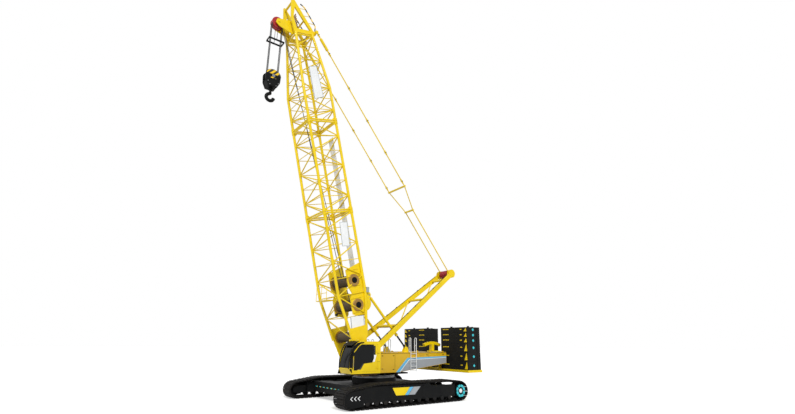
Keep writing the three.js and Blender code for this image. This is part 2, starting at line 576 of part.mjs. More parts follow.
{
  const y0 = CAB_INNER_Y;
  const y1 = CAB_OUTER_Y;
  const skin = y1 - CAB_WALL;
  const outside = plate(cabOutline(0), y0, y1);
  const inside = plate(cabOutline(CAB_WALL), y0 + CAB_WALL, skin);
  const windscreenLow = CAB_BOTTOM + 330;
  const windscreenHigh = CAB_TOP - 90;
  const front = block(CAB_NOSE - 760, CAB_NOSE + 50, y0 + 90, y1 - 90, windscreenLow, windscreenHigh);
  const doorway = plate(offsetOutline(doorOutline, RUN_GAP), skin - 20, y1 + 50);
  const rightWindow = block(DOOR_REAR + 150, DOOR_FRONT - 480, y0 - 20, y0 + CAB_WALL + 20,
    CAB_BOTTOM + 700, CAB_TOP - 250);
  const rearWindow = block(CAB_REAR - 20, CAB_REAR + CAB_WALL + 20, y0 + 200, y1 - 200,
    CAB_BOTTOM + 850, CAB_TOP - 300);
  const shell = outside.subtract(inside).subtract(front).subtract(doorway).subtract(rightWindow)
    .subtract(rearWindow);
  // lugs that the door's knuckles stand on, fixed to the shell just behind the doorway
  const lug = (z) => {
    const top = z - SEAT_GAP;
    return block(DOOR_REAR - 90, DOOR_REAR - 2 * RUN_GAP, y1 - 10, y1 + 2 * HINGE_RADIUS, top - 40, top)
      .add(block(DOOR_REAR - 90, DOOR_REAR + 14, y1 + RUN_GAP, y1 + 2 * HINGE_RADIUS, top - 40, top));
  };
  place(upper, 'cab_shell', joined([shell, ...KNUCKLE_ZS.map(lug)]), YELLOW);

  // windscreen: a curved pane that fills the front opening
  const paneOutside = plate(cabOutline(8), y0 + 90 + SEAT_GAP, y1 - 90 - SEAT_GAP);
  const paneInside = plate(cabOutline(8 + GLASS_THICKNESS), y0, y1);
  const paneBox = block(CAB_NOSE - 760 + SEAT_GAP, CAB_NOSE + 60, y0, y1,
    windscreenLow + SEAT_GAP, windscreenHigh - SEAT_GAP);
  place(upper, 'windscreen', paneOutside.subtract(paneInside).intersect(paneBox), GLASS);

  const paneY = (face, sign) => [face - sign * 16, face - sign * (16 + GLASS_THICKNESS)];
  const [rightA, rightB] = paneY(y0, -1);
  place(upper, 'right_window', block(DOOR_REAR + 150 + SEAT_GAP, DOOR_FRONT - 480 - SEAT_GAP, rightA, rightB,
    CAB_BOTTOM + 700 + SEAT_GAP, CAB_TOP - 250 - SEAT_GAP), GLASS);
  place(upper, 'rear_window', block(CAB_REAR + 16, CAB_REAR + 16 + GLASS_THICKNESS, y0 + 200 + SEAT_GAP,
    y1 - 200 - SEAT_GAP, CAB_BOTTOM + 850 + SEAT_GAP, CAB_TOP - 300 - SEAT_GAP), GLASS);

  // side door, hinged along its rear edge
  const leaf = plate(doorOutline, skin, y1 - 4).subtract(plate(windowOutline, skin - 20, y1 + 20));
  const hingeY = y1 + HINGE_RADIUS;
  const hingePin = (z) => bar([DOOR_REAR, hingeY, z], [DOOR_REAR, hingeY, z + KNUCKLE_LENGTH],
    HINGE_RADIUS, 12);
  const knuckle = (z) => hingePin(z)
    .add(block(DOOR_REAR - 4, DOOR_REAR + 110, y1 - 20, y1 + 14, z, z + KNUCKLE_LENGTH));
  place(upper, 'cab_door', joined([leaf, ...KNUCKLE_ZS.map(knuckle)]), YELLOW);
  const paneSkin = y1 - 30;
  const pane = plate(offsetOutline(windowOutline, -SEAT_GAP), paneSkin - GLASS_THICKNESS, paneSkin);
  place(upper, 'door_window', pane, GLASS);

  // seat and control stand inside, and the bracket that carries the cab off the frame
  const floor = CAB_BOTTOM + CAB_WALL + SEAT_GAP;
  const middle = (y0 + y1) / 2;
  place(upper, 'operator_seat', joined([
    block(CAB_REAR + 700, CAB_REAR + 1000, middle - 160, middle + 160, floor, floor + 330),
    block(CAB_REAR + 560, CAB_REAR + 1120, middle - 260, middle + 260, floor + 320, floor + 460),
    plate([[CAB_REAR + 600, floor + 440], [CAB_REAR + 450, floor + 1130], [CAB_REAR + 330, floor + 1110],
      [CAB_REAR + 470, floor + 400], [CAB_REAR + 600, floor + 400]], middle - 250, middle + 250),
    ...mirrored((sign) => block(CAB_REAR + 620, CAB_REAR + 1080, middle + sign * 285, middle + sign * 395,
      floor + 380, floor + 600)),
    block(CAB_REAR + 700, CAB_REAR + 800, middle - 390, middle + 390, floor + 340, floor + 400),
  ]), DARK);
  place(upper, 'control_stand', joined([
    block(CAB_NOSE - 560, CAB_NOSE - 470, middle - 60, middle + 60, floor, floor + 640),
    plate([[CAB_NOSE - 640, floor + 600], [CAB_NOSE - 440, floor + 600], [CAB_NOSE - 470, floor + 800],
      [CAB_NOSE - 560, floor + 830]], middle - 260, middle + 260),
  ]), DARK);
  const under = CAB_BOTTOM - SEAT_GAP;
  const cabBracket = joined([
    block(CAB_REAR + 60, CAB_REAR + 1500, y0 + 100, y1 - 260, under - 120, under),
    block(CAB_REAR + 120, CAB_REAR + 560, FOOT_EAR_OUT + SEAT_GAP, y0 + 140, frameBottom + 10, under - 20),
  ]);
  place(upper, 'cab_bracket', cabBracket, BROWN);
}

// ---------------------------------------------------------------- boom
// Points on the boom are given as [along, y, out]: along the boom's axis from the foot pin,
// across the machine, and square to the axis towards the boom's back.
const boomTilt = THREE.MathUtils.degToRad(BOOM_ANGLE);
const onBoom = ([along, y, out]) => [
  BOOM_FOOT_X + along * Math.cos(boomTilt) - out * Math.sin(boomTilt),
  y,
  BOOM_FOOT_Z + along * Math.sin(boomTilt) + out * Math.cos(boomTilt),
];
const boomBar = (from, to, radius, sides = 6) => bar(onBoom(from), onBoom(to), radius, sides);
const ball = (at, radius) => {
  const sphere = new THREE.SphereGeometry(radius, 6, 4);
  sphere.translate(...onBoom(at));
  return toSolid(sphere);
};
const boomPlate = (outline, y0, y1) => plate(outline.map(([along, out]) => {
  const [x, , z] = onBoom([along, 0, out]);
  return [x, z];
}), y0, y1);
const plateThrough = (outline, y, thickness) => boomPlate(outline, y - thickness / 2, y + thickness / 2);
const boomPinY = (along, out, y0, y1, radius, sides = PIN_SIDES) => {
  const [x, , z] = onBoom([along, 0, out]);
  return barY(x, z, y0, y1, radius, sides);
};

// Half width and half depth of the boom's chord lines at a distance along it.
function boomHalf(along) {
  const mix = (a, b, share) => a + (b - a) * share;
  if (along < FOOT_BEND) {
    const share = along / FOOT_BEND;
    return [mix(FOOT_WIDTH, BOOM_WIDTH, share) / 2, mix(FOOT_DEPTH, BOOM_DEPTH, share) / 2];
  }
  if (along > TOP_BEND) {
    const share = (along - TOP_BEND) / (BOOM_LENGTH - TOP_BEND);
    return [mix(BOOM_WIDTH, HEAD_WIDTH, share) / 2, mix(BOOM_DEPTH, HEAD_DEPTH, share) / 2];
  }
  return [BOOM_WIDTH / 2, BOOM_DEPTH / 2];
}

const CORNERS = [[1, -1], [1, 1], [-1, 1], [-1, -1]];
const chordPoint = (along, [acrossSign, outSign]) => {
  const [halfWidth, halfDepth] = boomHalf(along);
  return [along, acrossSign * halfWidth, outSign * halfDepth];
};

// One lattice section: four chords that bend only where the boom's taper does, square frames
// at both ends, and zigzag lacing between the stations.
function latticeSection(stations, openFaces = []) {
  const first = stations[0];
  const last = stations[stations.length - 1];
  const bends = [first, ...[FOOT_BEND, TOP_BEND].filter((bend) => bend > first && bend < last), last];
  const pieces = [];
  for (let i = 0; i + 1 < bends.length; i += 1) {
    for (const corner of CORNERS) {
      pieces.push(boomBar(chordPoint(bends[i], corner), chordPoint(bends[i + 1], corner), CHORD_RADIUS));
      if (i > 0) pieces.push(ball(chordPoint(bends[i], corner), CHORD_RADIUS * 1.12));
    }
  }
  for (let i = 0; i + 1 < stations.length; i += 1) {
    const from = Math.max(stations[i], first + LACING_INSET);
    const to = Math.min(stations[i + 1], last - LACING_INSET);
    CORNERS.forEach((corner, k) => {
      const next = CORNERS[(k + 1) % 4];
      const swap = (i + k) % 2 === 1;
      if (openFaces.includes(k)) return;
      pieces.push(boomBar(chordPoint(from, swap ? next : corner), chordPoint(to, swap ? corner : next),
        LACING_RADIUS, 3));
    });
  }
  for (const along of [first, last]) {
    const inset = along === first ? 70 : -70;
    CORNERS.forEach((corner, k) => {
      const next = CORNERS[(k + 1) % 4];
      pieces.push(boomBar(chordPoint(along + inset, corner), chordPoint(along + inset, next), 60, 4));
    });
  }
  return pieces;
}

const evenly = (from, to, count) => Array.from({ length: count + 1 },
  (_, i) => from + (to - from) * i / count);

{
  // foot section: tapered plate-ended legs, then the straight part that holds the winches
  const bend = FOOT_BEND;
  const end = FOOT_SECTION - SECTION_GAP / 2;
  const pieces = latticeSection([1700, 3150, bend, ...evenly(bend, end, 4).slice(1)], [1]);
  for (const sign of [1, -1]) {
    const middle = sign * FOOT_WIDTH / 2;
    const leg = boomPlate([
      [-115, -60], [-60, -115], [300, -150], [2050, -560], [2450, -660], [2450, 660], [2050, 560],
      [300, 150], [-60, 115], [-115, 60],
    ], middle - sign * FOOT_LEG_HALF, middle + sign * FOOT_LEG_HALF);
    const eye = holeY(BOOM_FOOT_X, BOOM_FOOT_Z, middle - sign * 200, middle + sign * 200, BOOM_PIN_RADIUS);
    pieces.push(leg.subtract(eye));
    // ears behind the chord that hold the backstop's pin
    const earShape = [[3900, 820], [4650, 940], [4420, 1400], [4256, 1460], [4100, 1400]];
    for (const side of [-1, 1]) {
      pieces.push(plateThrough(earShape, sign * BACKSTOP_Y + side * (BACKSTOP_EYE_HALF + 22), 28));
    }
    pieces.push(barY(...BACKSTOP_TOP, sign * (BACKSTOP_Y - BACKSTOP_EYE_HALF - 30),
      sign * (BACKSTOP_Y + BACKSTOP_EYE_HALF + 30), BACKSTOP_PIN_RADIUS));
    const earBase = [[3960, 840], [4620, 930], [4620, 990], [3960, 900]];
    pieces.push(plateThrough(earBase, sign * (BACKSTOP_Y + 20), 230));
    // side plates inside the chords carry the two hoist winches
    const [halfWidth, halfDepth] = boomHalf(bend);
    const face = sign * (halfWidth - 130);
    pieces.push(boomPlate([
      [2900, halfDepth - 330], [3250, -150], [4300, -150], [4600, 40], [5000, -150], [6150, -150],
      [6500, halfDepth - 10], [3150, halfDepth - 130],
    ], face, sign * halfWidth));
  }
  for (const along of DRUM_ALONG) {
    pieces.push(boomPinY(along, DRUM_OUT, -BOOM_WIDTH / 2 + 60, BOOM_WIDTH / 2 - 60, DRUM_SHAFT_RADIUS));
  }
  pieces.push(boomPinY(LUFFING_ALONG, 0, -FOOT_WIDTH / 2 + 30, FOOT_WIDTH / 2 - 30, DRUM_SHAFT_RADIUS));
  place(upper, 'boom_foot_section', joined(pieces), YELLOW);
}

const topStart = FOOT_SECTION + MIDDLE_SECTION;
{
  const from = FOOT_SECTION + SECTION_GAP / 2;
  const middle = latticeSection(evenly(from, topStart - SECTION_GAP / 2, 4));
  place(upper, 'boom_middle_section', joined(middle), YELLOW);
  const pieces = latticeSection([...evenly(topStart + SECTION_GAP / 2, TOP_BEND, 2),
    ...evenly(TOP_BEND, BOOM_LENGTH, 3).slice(1)]);
  // square lugs at the chords' upper ends carry the head
  for (const [acrossSign, outSign] of CORNERS) {
    const lug = [[-LUG_LENGTH, -1], [LUG_REACH, -1], [LUG_REACH, 1], [-LUG_LENGTH, 1]]
      .map(([end, side]) => [BOOM_LENGTH + end, outSign * HEAD_DEPTH / 2 + side * LUG_HALF]);
    pieces.push(plateThrough(lug, acrossSign * HEAD_WIDTH / 2, 2 * LUG_HALF));
  }
  place(upper, 'boom_top_section', joined(pieces), YELLOW);
}

// boom head: two triangular side frames with the apex, joined by cross tubes, and the
// forward bracket that carries the hoist sheaves
const HEAD_START = BOOM_LENGTH + LUG_REACH + SEAT_GAP;
const PENDANT_HEAD_ALONG = HEAD_START + 130;
const PENDANT_HEAD_OUT = HEAD_DEPTH / 2 + 270;
const PENDANT_HALF = 45;
const SHEAVE_ALONG = 24150;
const SHEAVE_OUT = -1600;
const SHEAVE_RADIUS = 430;
const SHEAVE_HALF = 210;
const ROPE_LANES = 2;
const SHEAVE_SHAFT_RADIUS = 70;
{
  const half = HEAD_WIDTH / 2;
  const back = HEAD_DEPTH / 2;
  const outer = [[HEAD_START, -back - 90], [HEAD_START, back + 120], [HEAD_START + 260, back + 180],
    [26050, -390], [26050, -520], [HEAD_START + 1100, -back - 160]];
  const hole = [[HEAD_START + 300, -back + 160], [HEAD_START + 300, back - 90], [25350, -380],
    [HEAD_START + 1150, -back + 30]];
  const bracket = [[HEAD_START + 120, -back + 60], [HEAD_START, -back - 40],
    [SHEAVE_ALONG - 330, SHEAVE_OUT - 60], [SHEAVE_ALONG - 60, SHEAVE_OUT - 240],
    [SHEAVE_ALONG + 200, SHEAVE_OUT - 90],
    [SHEAVE_ALONG + 230, SHEAVE_OUT + 160], [HEAD_START + 1050, -back + 60]];
  const pieces = [];
  for (const sign of [1, -1]) {
    pieces.push(boomPlate(outer, sign * half, sign * (half - 130)).subtract(
      boomPlate(hole, sign * (half + 20), sign * (half - 150))));
    pieces.push(boomPlate(bracket, sign * 300, sign * 370));
    // lug that the pendant's eye swings beside
    pieces.push(boomPinY(PENDANT_HEAD_ALONG, PENDANT_HEAD_OUT, sign * (half - 100),
      sign * (PENDANT_Y - PENDANT_HALF - PENDANT_SIDE_GAP), 85));
    const lugPlate = [[HEAD_START, back - 60], [HEAD_START, back + 280],
      [HEAD_START + 150, PENDANT_HEAD_OUT + 130], [HEAD_START + 300, back + 280],
      [HEAD_START + 330, back - 60]];
    pieces.push(boomPlate(lugPlate, sign * (half - 130), sign * half));
  }
  const cross = (along, out, radius) => boomPinY(along, out, -half + 20, half - 20, radius, 10);
  pieces.push(cross(HEAD_START + 150, back, 80), cross(HEAD_START + 150, -back + 40, 90),
    cross(25800, -440, 80), cross(HEAD_START + 950, -back - 40, 90), cross(24500, 300, 60));
  pieces.push(boomPinY(SHEAVE_ALONG, SHEAVE_OUT, -430, 430, SHEAVE_SHAFT_RADIUS));
  place(upper, 'boom_head', joined(pieces), YELLOW);
}

const SHEAVE_SIDES = 18;
const GROOVE_DEPTH = 60;
// A pack of grooved rope sheaves on one shaft along Y.
function makeSheaves(x, z, radius, halfWidth, count, bore) {
  const profile = [[bore, -halfWidth]];
  const pitch = 2 * halfWidth / count;
  for (let i = 0; i < count; i += 1) {
    const y = -halfWidth + i * pitch;
    profile.push([radius, y], [radius, y + pitch * 0.15], [radius - GROOVE_DEPTH, y + pitch * 0.3],
      [radius - GROOVE_DEPTH, y + pitch * 0.7], [radius, y + pitch * 0.85]);
  }
  profile.push([radius, halfWidth], [bore, halfWidth]);
  return turnedY(profile, x, z, SHEAVE_SIDES);
}

const [sheaveX, , sheaveZ] = onBoom([SHEAVE_ALONG, 0, SHEAVE_OUT]);
const sheaveBore = boredFor(SHEAVE_SHAFT_RADIUS, SHEAVE_SIDES);
place(upper, 'head_sheaves',
  makeSheaves(sheaveX, sheaveZ, SHEAVE_RADIUS, SHEAVE_HALF, ROPE_LANES, sheaveBore), RED);

// Winch drum turning on a fixed shaft between two of the foot section's plates.
function makeDrum(along, out, halfLength, core, flange) {
  const [x, , z] = onBoom([along, 0, out]);
  const bore = boredFor(DRUM_SHAFT_RADIUS, DRUM_SIDES);
  return turnedY([
    [bore, -halfLength], [flange, -halfLength], [flange, -halfLength + 50], [core, -halfLength + 50],
    [core, halfLength - 50], [flange, halfLength - 50], [flange, halfLength], [bore, halfLength],
  ], x, z, DRUM_SIDES);
}

const drumReach = BOOM_WIDTH / 2 - 130 - RUN_GAP;
place(upper, 'hoist_drum_upper', makeDrum(DRUM_ALONG[0], DRUM_OUT, drumReach, 330, 500), BROWN);
place(upper, 'hoist_drum_lower', makeDrum(DRUM_ALONG[1], DRUM_OUT, drumReach, 330, 500), BROWN);
const luffingReach = FOOT_WIDTH / 2 - FOOT_LEG_HALF - RUN_GAP;
place(upper, 'luffing_drum', makeDrum(LUFFING_ALONG, 0, luffingReach, 280, 410), BROWN);

// ---------------------------------------------------------------- mast and pendants
{
  const foot = (sign) => [MAST_FOOT_X, sign * MAST_FOOT_Y, MAST_FOOT_Z];
  const tip = (sign) => [MAST_TIP_X, sign * MAST_TIP_Y, MAST_TIP_Z];
  const along = new THREE.Vector3(MAST_TIP_X - MAST_FOOT_X, 0, MAST_TIP_Z - MAST_FOOT_Z);
  const length = along.length();
  const tilt = Math.atan2(along.z, along.x);
  const splay = Math.atan2(MAST_TIP_Y - MAST_FOOT_Y, length);
  const leg = (sign) => {
    const box = new THREE.BoxGeometry(length, MAST_LEG_WIDTH, MAST_LEG_DEPTH);
    box.translate(length / 2, 0, 0);
    box.rotateZ(sign * splay);
    box.rotateY(-tilt);
    box.translate(...foot(sign));
    return toSolid(box);
  };
  const at = (share, sign) => foot(sign).map((value, i) => value + (tip(sign)[i] - value) * share);
  const rung = (share, radius) => bar(at(share, 1), at(share, -1), radius, 8);
  const eye = (sign) => barY(MAST_FOOT_X, MAST_FOOT_Z, sign * (MAST_FOOT_Y - MAST_LEG_WIDTH / 2 + 8),
    sign * (MAST_FOOT_Y + MAST_LEG_WIDTH / 2 - 8), 175, 14);
  const pinHole = (sign) => holeY(MAST_FOOT_X, MAST_FOOT_Z, sign * (MAST_FOOT_Y - 200),
    sign * (MAST_FOOT_Y + 200), MAST_PIN_RADIUS);
  const cheek = (y) => {
    const [x, , z] = tip(1);
    return barY(x, z, y - MAST_CHEEK_HALF, y + MAST_CHEEK_HALF, 330, 12);
  };
  const pieces = [leg(1), leg(-1), rung(0.28, 110), rung(0.62, 90), rung(0.9, 90), eye(1), eye(-1),
    cheek(MAST_TIP_Y - MAST_CHEEK_IN), cheek(MAST_CHEEK_IN - MAST_TIP_Y),
    cheek(MAST_TIP_Y + 20), cheek(-MAST_TIP_Y - 20),
    barY(MAST_TIP_X, MAST_TIP_Z, -MAST_TIP_Y - 75, MAST_TIP_Y + 75, TIP_PIN_RADIUS)];
  const whole = joined(pieces).subtract(pinHole(1)).subtract(pinHole(-1));
  place(upper, 'mast', whole, YELLOW);
  const reach = PENDANT_TIP_Y - TIP_EYE_HALF - RUN_GAP;
  const bore = boredFor(TIP_PIN_RADIUS, SHEAVE_SIDES);
  place(upper, 'mast_sheaves', makeSheaves(MAST_TIP_X, MAST_TIP_Z, 300, reach, 4, bore), RED);
}

// Pendants: two flat-bar lines from the boom head's rear corners to the mast's tip, kept
// apart by two spreader bars. Each line is pinned to the mast and stops short of its boom eye.
const SPREADER_SHARES = [0.62, 0.715];
{
  const [headX, , headZ] = onBoom([PENDANT_HEAD_ALONG, 0, PENDANT_HEAD_OUT]);
  const head = new THREE.Vector3(headX, 0, headZ);
  const tip = new THREE.Vector3(MAST_TIP_X, 0, MAST_TIP_Z);
  const line = tip.clone().sub(head);
  const unit = line.clone().normalize();
  const start = head;
  const lineEnd = tip.clone().sub(unit.clone().multiplyScalar(60));
  const tipEye = (sign) => barY(MAST_TIP_X, MAST_TIP_Z, sign * (PENDANT_TIP_Y - TIP_EYE_HALF),
    sign * (PENDANT_TIP_Y + TIP_EYE_HALF), 140);
  const pieces = mirrored(tipEye);
  const [wide, narrow] = SPREADER_SHARES.map((share) => head.clone().add(line.clone().multiplyScalar(share)));
  for (const sign of [1, -1]) {
    const y = sign * PENDANT_Y;
    const tipY = sign * PENDANT_TIP_Y;
    pieces.push(bar([start.x, y, start.z], [wide.x, y, wide.z], PENDANT_HALF - 3, 6),
      bar([wide.x, y, wide.z], [narrow.x, tipY, narrow.z], PENDANT_HALF - 7, 6),
      bar([narrow.x, tipY, narrow.z], [lineEnd.x, tipY, lineEnd.z], PENDANT_HALF - 3, 6));
    pieces.push(barY(start.x, start.z, y - PENDANT_HALF, y + PENDANT_HALF, 120));
    // turnbuckle near the head
    const near = start.clone().add(unit.clone().multiplyScalar(550));
    const far = start.clone().add(unit.clone().multiplyScalar(1500));
    pieces.push(bar([near.x, y, near.z], [far.x, y, far.z], 105, 8));
  }
  pieces.push(barY(wide.x, wide.z, -PENDANT_Y - 70, PENDANT_Y + 70, 75, 8),
    barY(narrow.x, narrow.z, -PENDANT_TIP_Y - 70, PENDANT_TIP_Y + 70, 75, 8));
  const tipPin = holeY(MAST_TIP_X, MAST_TIP_Z, -PENDANT_TIP_Y - 90, PENDANT_TIP_Y + 90, TIP_PIN_RADIUS);
  place(upper, 'pendants', joined(pieces).subtract(tipPin), YELLOW);
}

// Backstops: a yellow tube hinged to the back of the boom's foot section, and a black rod
// that slides in it and is pinned on the deck.
const TUBE_SHARE = 0.76;
const TUBE_RADIUS = 92;
const ROD_RADIUS = 58;
const SLIDE_GAP = 0.8;
const ROD_END_GAP = 135;           // the rod's end stops this far short of the deck pin's middle
const ROD_INSIDE = 2750;           // rod's length inside the tube at rest
const BORE_START = 380;            // from the boom pin to the bottom of the tube's bore
{
  const top = new THREE.Vector3(BACKSTOP_TOP[0], 0, BACKSTOP_TOP[1]);
  const bottom = new THREE.Vector3(BACKSTOP_BOTTOM[0], 0, BACKSTOP_BOTTOM[1]);
  const line = bottom.clone().sub(top);
  const unit = line.clone().normalize();
  const point = (distance, y) => [top.x + unit.x * distance, y, top.z + unit.z * distance];
  const length = line.length();
  const tubeEnd = length * TUBE_SHARE;
  for (const sign of [1, -1]) {
    const hand = sign > 0 ? 'left' : 'right';
    const y = sign * BACKSTOP_Y;
    const eye = barY(top.x, top.z, y - BACKSTOP_EYE_HALF, y + BACKSTOP_EYE_HALF, 125);
    const pin = holeY(top.x, top.z, y - 100, y + 100, BACKSTOP_PIN_RADIUS);
    const bore = bar(point(BORE_START, y), point(tubeEnd + 50, y), ROD_RADIUS + SLIDE_GAP, 12);
    const tube = bar(point(280, y), point(tubeEnd, y), TUBE_RADIUS, 12)
      .add(bar(point(40, y), point(300, y), BACKSTOP_EYE_HALF - 4, 12));
    place(upper, `backstop_tube_${hand}`, joined([tube, eye]).subtract(pin).subtract(bore), YELLOW);
    const rodEnd = length - ROD_END_GAP;
    const rod = bar(point(tubeEnd - ROD_INSIDE, y), point(rodEnd, y), ROD_RADIUS, 12);
    const shoe = bar(point(rodEnd - 90, y), point(rodEnd, y), ROD_RADIUS + 14, 12);
    place(upper, `backstop_rod_${hand}`, joined([rod, shoe]), BLACK);
  }
}

// Hoist limit weight: a ring round the rope falls, hung on two rods from the sheave shaft so
// that it stays upright as the boom moves.
const LIMIT_DROP = 1500;
const LIMIT_RING_HALF = 560;
const LIMIT_RING_BAR = 55;
const LIMIT_RING_HEIGHT = 120;
const LIMIT_ROD_RADIUS = 17;
const LIMIT_EYE_RADIUS = 125;
{
  const z = sheaveZ - LIMIT_DROP;
  const eyeY = SHEAVE_HALF + 45;
  const across = eyeY + LIMIT_RING_BAR / 2;
  const frame = (x, y, height) => block(sheaveX - x, sheaveX + x, -y, y, z - height / 2, z + height / 2);
  const ring = frame(LIMIT_RING_HALF, across, LIMIT_RING_HEIGHT).subtract(
    frame(LIMIT_RING_HALF - LIMIT_RING_BAR, across - LIMIT_RING_BAR, LIMIT_RING_HEIGHT + 20));
  const hanger = (sign) => barY(sheaveX, sheaveZ, sign * (eyeY - 22), sign * (eyeY + 22), LIMIT_EYE_RADIUS)
    .add(bar([sheaveX, sign * eyeY, sheaveZ - LIMIT_EYE_RADIUS + 25], [sheaveX, sign * eyeY, z],
      LIMIT_ROD_RADIUS, 6));
  const shaftHole = holeY(sheaveX, sheaveZ, -across - 20, across + 20, SHEAVE_SHAFT_RADIUS);
  place(upper, 'hoist_limit_weight', joined([ring, hanger(1), hanger(-1)]).subtract(shaftHole), DARK);
}

// ---------------------------------------------------------------- hook block
const BLOCK_DROP = 4400;           // from the head sheaves' shaft to the block's
const BLOCK_SHEAVE_RADIUS = 420;
const BLOCK_PLATE = 60;
const SHANK_RADIUS = 85;
{
  const x = sheaveX;
  const z = sheaveZ - BLOCK_DROP;
  const cheekShape = [];
  for (let i = 0; i <= 12; i += 1) {
    const angle = Math.PI * i / 12;
    cheekShape.push([x + 530 * Math.cos(angle), z + 60 + 430 * Math.sin(angle)]);
  }
  cheekShape.push([x - 500, z - 420], [x - 300, z - 820], [x + 300, z - 820], [x + 500, z - 420]);
  const half = SHEAVE_HALF + 40;
  const weight = [[x - 470, z - 430], [x - 290, z - 800], [x + 290, z - 800], [x + 470, z - 430]];
  const pieces = [
    plate(cheekShape, half, half + BLOCK_PLATE), plate(cheekShape, -half, -half - BLOCK_PLATE),
    plate(weight, -half - BLOCK_PLATE - 60, half + BLOCK_PLATE + 60),
    barY(x, z, -half - BLOCK_PLATE - 30, half + BLOCK_PLATE + 30, SHEAVE_SHAFT_RADIUS),
  ];
  const swivelHole = bar([x, 0, z - 830], [x, 0, z - 560], boredFor(SHANK_RADIUS), PIN_SIDES,
    Math.PI / PIN_SIDES);
  place(upper, 'hook_block', joined(pieces).subtract(swivelHole), BLACK);
  place(upper, 'block_sheaves',
    makeSheaves(x, z, BLOCK_SHEAVE_RADIUS, SHEAVE_HALF, ROPE_LANES, sheaveBore), BLACK);

  // single hook: a swept crescent with an upright shank
  const centre = [x, z - 1500];
  const points = [];
  for (let i = 0; i <= 16; i += 1) {
    const angle = THREE.MathUtils.degToRad(80 - 255 * i / 16);
    points.push(new THREE.Vector3(centre[0] + 250 * Math.cos(angle), 0, centre[1] + 250 * Math.sin(angle)));
  }
  points.unshift(new THREE.Vector3(x + 4, 0, centre[1] + 330));
  const curve = new THREE.CatmullRomCurve3(points);
  const section = new THREE.Shape();
  section.absellipse(0, 0, 95, 120, 0, Math.PI * 2);
  const sweep = { steps: 18, curveSegments: 5, extrudePath: curve };
  const crescent = toSolid(new THREE.ExtrudeGeometry(section, sweep));
  const shank = bar([x, 0, centre[1] + 240], [x, 0, z - 570], SHANK_RADIUS, PIN_SIDES);
  const collar = bar([x, 0, z - 960], [x, 0, z - 826], 150, 12);
  place(upper, 'hook', joined([crescent, shank, collar]), BLACK);
}

// ---------------------------------------------------------------- deck fittings
{
  const deck = DECK_TOP + SEAT_GAP;
  // brackets that take the backstop rods' feet, one on each housing
  for (const sign of [1, -1]) {
    const hand = sign > 0 ? 'left' : 'right';
    const y = sign * BACKSTOP_Y;
    const [x, z] = BACKSTOP_BOTTOM;
    const earShape = [[x - 260, deck + 10], [x + 260, deck + 10], [x + 90, z + 80], [x - 90, z + 80]];
    const ear = (near) => plate(earShape, y + near, y + near + Math.sign(near) * 36);
    place(upper, `backstop_bracket_${hand}`, joined([
      block(x - 330, x + 330, y - 190, y + 190, deck, deck + 30),
      ear(80), ear(-80), barY(x, z, y - 125, y + 125, BACKSTOP_PIN_RADIUS),
    ]), YELLOW);
  }
  // arched rope equaliser on a short post over the well
  const postX = -4880;
  const postTop = deck + 450;
  const arch = [];
  const half = 790;
  for (let i = 0; i <= 12; i += 1) {
    const share = -1 + 2 * i / 12;
    arch.push([postX - share * half, postTop + 280 - 170 * share * share]);
  }
  for (let i = 12; i >= 0; i -= 1) {
    const share = -1 + 2 * i / 12;
    arch.push([postX - share * (half - 60), postTop + 80 - 150 * share * share]);
  }
  place(upper, 'equaliser_beam', joined([
    plate(arch, 210, 430),
    block(postX - 120, postX + 120, 180, 460, deck + 10, postTop + 130),
    block(postX - 280, postX + 280, 100, 1000, deck, deck + 90),
  ]), YELLOW);

  // left access ladder with its two grab hoops
  const ladderX = -2150;
  const ladderHalf = 240;
  const tube = 26;
  const y = BODY_HALF_WIDTH + 70;
  const bottom = frameBottom + 150;
  const pieces = [];
  for (const face of [1, -1]) {
    const x = ladderX + face * ladderHalf;
    pieces.push(bar([x, y, bottom], [x, y, DECK_TOP + 960], tube, 5));
    pieces.push(bar([x, y, DECK_TOP + 940], [x, y - 190, DECK_TOP + 940], tube, 5));
    pieces.push(bar([x, y - 180, DECK_TOP + 965], [x, y - 180, deck], tube, 5));
    pieces.push(bar([x, y, DECK_TOP - 300], [x, BODY_HALF_WIDTH + SEAT_GAP, DECK_TOP - 300], tube, 5));
  }
  for (let i = 0; i < 5; i += 1) {
    const z = bottom + 80 + i * 270;
    pieces.push(bar([ladderX - ladderHalf, y, z], [ladderX + ladderHalf, y, z], tube - 4, 5));
  }
  place(upper, 'access_ladder', joined(pieces), PALE);
}

// ---------------------------------------------------------------- whole machine
// Centre the machine fore and aft on its bounding box; the ground is at z = 0.
machine.updateMatrixWorld(true);
const bounds = new THREE.Box3().setFromObject(machine);
machine.position.x = -(bounds.min.x + bounds.max.x) / 2;
machine.updateMatrixWorld(true);

export default machine;
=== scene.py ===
import json
import math

import bmesh
import bpy
import numpy as np
from mathutils import Matrix, Vector


